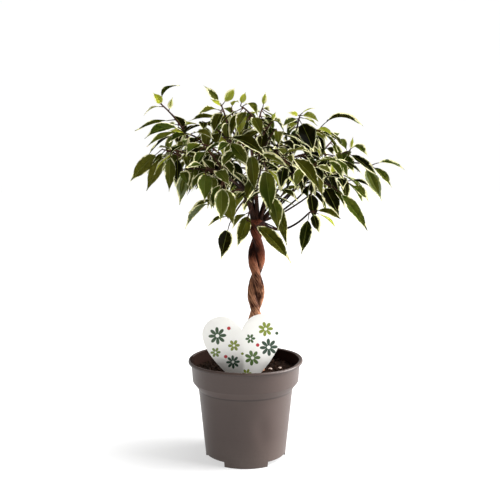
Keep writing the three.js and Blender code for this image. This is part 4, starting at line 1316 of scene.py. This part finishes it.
def build_label(finish):
    bm = bmesh.new()
    rim = bmesh.ops.create_circle(bm, cap_ends=True, segments=160, radius=1)["verts"]
    tilt = math.radians(LABEL_TILT)
    for point in rim:
        x, z = heart_point((math.atan2(point.co.x, point.co.y) / (2 * math.pi)) % 1)
        right, above = turned(x, z, tilt)
        point.co = Vector((right, LABEL_Y - LABEL_THICKNESS / 2, above + HEART_TIP)) * MM
    made = bmesh.ops.extrude_face_region(bm, geom=bm.faces[:])["geom"]
    back = [part for part in made if isinstance(part, bmesh.types.BMVert)]
    bmesh.ops.translate(bm, verts=back, vec=(0, LABEL_THICKNESS * MM, 0))
    bmesh.ops.recalc_face_normals(bm, faces=bm.faces[:])
    corners = [
        edge for edge in bm.edges
        if edge.calc_face_angle(0) > 1.2 and abs(edge.verts[0].co.y - edge.verts[1].co.y) < 1e-6
    ]
    bmesh.ops.bevel(bm, geom=corners, offset=LABEL_ROUNDING * MM, segments=2, profile=0.5, affect="EDGES",
                    material=-1)
    piece("heart_label", bm, [finish], "plant_label", crisp=40)


def paper_sweep():
    """White paper that glows, more the further it lies from the pot: painted light, so that its edge and the
    crown's shadow don't show and only a shadow near the pot's foot stays.
    """
    m = material("glowing_paper_sweep")
    where = add(m, "TexCoord").outputs["Object"]
    away = add(m, "VectorMath", {0: where}, operation="LENGTH")
    glow = {"Value": away, "From Min": 0.05, "From Max": 0.21, "To Min": 0.58, "To Max": 0.95}
    paper = add(m, "BsdfPrincipled", {
        "Base Color": linear("#aaaaaa"),
        "Roughness": 0.9,
        "Specular IOR Level": 0.1,
        "Emission Color": linear("#ffffff"),
        "Emission Strength": add(m, "MapRange", glow),
    })
    add(m, "OutputMaterial", {"Surface": paper})
    return m


def white_room():
    """A white backdrop lit to a little above eye level, with a dimmer ceiling and a dimmer room before it."""
    world = bpy.data.worlds.new("white_room")
    world.use_nodes = True
    world.node_tree.nodes.clear()
    toward = add(world, "TexCoord").outputs["Generated"]
    parts = add(world, "SeparateXYZ", {"Vector": toward}).outputs
    height = {"Value": parts["Z"], "From Min": 0.16, "From Max": 0.4, "To Min": 1.01, "To Max": 0.3}
    above = add(world, "MapRange", height)
    before = add(world, "MapRange", {"Value": parts["Y"], "From Min": -0.5, "From Max": 0.1, "To Min": 0.4})
    light = add(world, "Math", {0: above, 1: before}, operation="MULTIPLY")
    walls = add(world, "Background", {"Color": linear("#ffffff"), "Strength": light})
    add(world, "OutputWorld", {"Surface": walls})
    return world


def stage():
    bm = bmesh.new()
    bmesh.ops.create_grid(bm, x_segments=1, y_segments=1, size=FLOOR_HALF)
    floor = settled("floor", bm)
    floor.data.materials.append(paper_sweep())
    for name, place, size, watts in LAMPS:
        lamp = bpy.data.lights.new(name, "AREA")
        lamp.size, lamp.energy = size, watts
        made = put(name, lamp)
        made.location = place
        made.rotation_euler = (Vector(LAMP_AIM) - Vector(place)).to_track_quat("-Z", "Y").to_euler()
    bpy.context.scene.world = white_room()
    bpy.context.scene.view_settings.view_transform = "Standard"
    lens = bpy.data.cameras.new("camera")
    lens.lens = CAMERA_FOCAL_PX / PICTURE_PX * lens.sensor_width
    camera = put("camera", lens)
    camera.location = Vector(CAMERA_PLACE) * MM
    camera.rotation_euler = (math.radians(90 - CAMERA_DIP), 0, 0)
    bpy.context.scene.camera = camera


stage()
limbs, stems, grown = grow_crown()
build_trunk(limbs, [
    bark("twisted_bark", ["#3a160a", "#e3a880", "#180602", "#6a3522"], 0.7),
    bark("limb_bark", ["#100602", "#301910"] * 2, 0.65),
])
build_shoots(stems, grown, [
    leaf_skin("waxy_leaf_upper", "#020400", "#22400c", "#6a5f12", "#8a935a", "#fcf9da", "#607424",
              "#c8d02e", 0.42, 3.0),
    leaf_skin("matt_leaf_underside", "#0c0c02", "#415014", "#6a631b", "#8c9560", "#efecc4", "#798336",
              "#c0c43e", 0.6, -3.0),
    bark("young_stem", ["#1e0f08", "#47291b"] * 2, 0.6),
])
build_pot([
    moulded_plastic("moulded_polypropylene", "#40322d", "#493b36", 0.5, 0.45, 0.42),
    # The inner wall's finish, painted nearly black: painted shade inside the pot.
    moulded_plastic("inner_wall_painted_shade", "#1a0f0b", "#281812", 0.0, 0.8, 0.05),
])
build_soil(peat("peat_compost", "#0a0503", "#33231a"), peat("pale_bark_chip", "#a98f82", "#e0cfc4"))
build_label(printed_card())
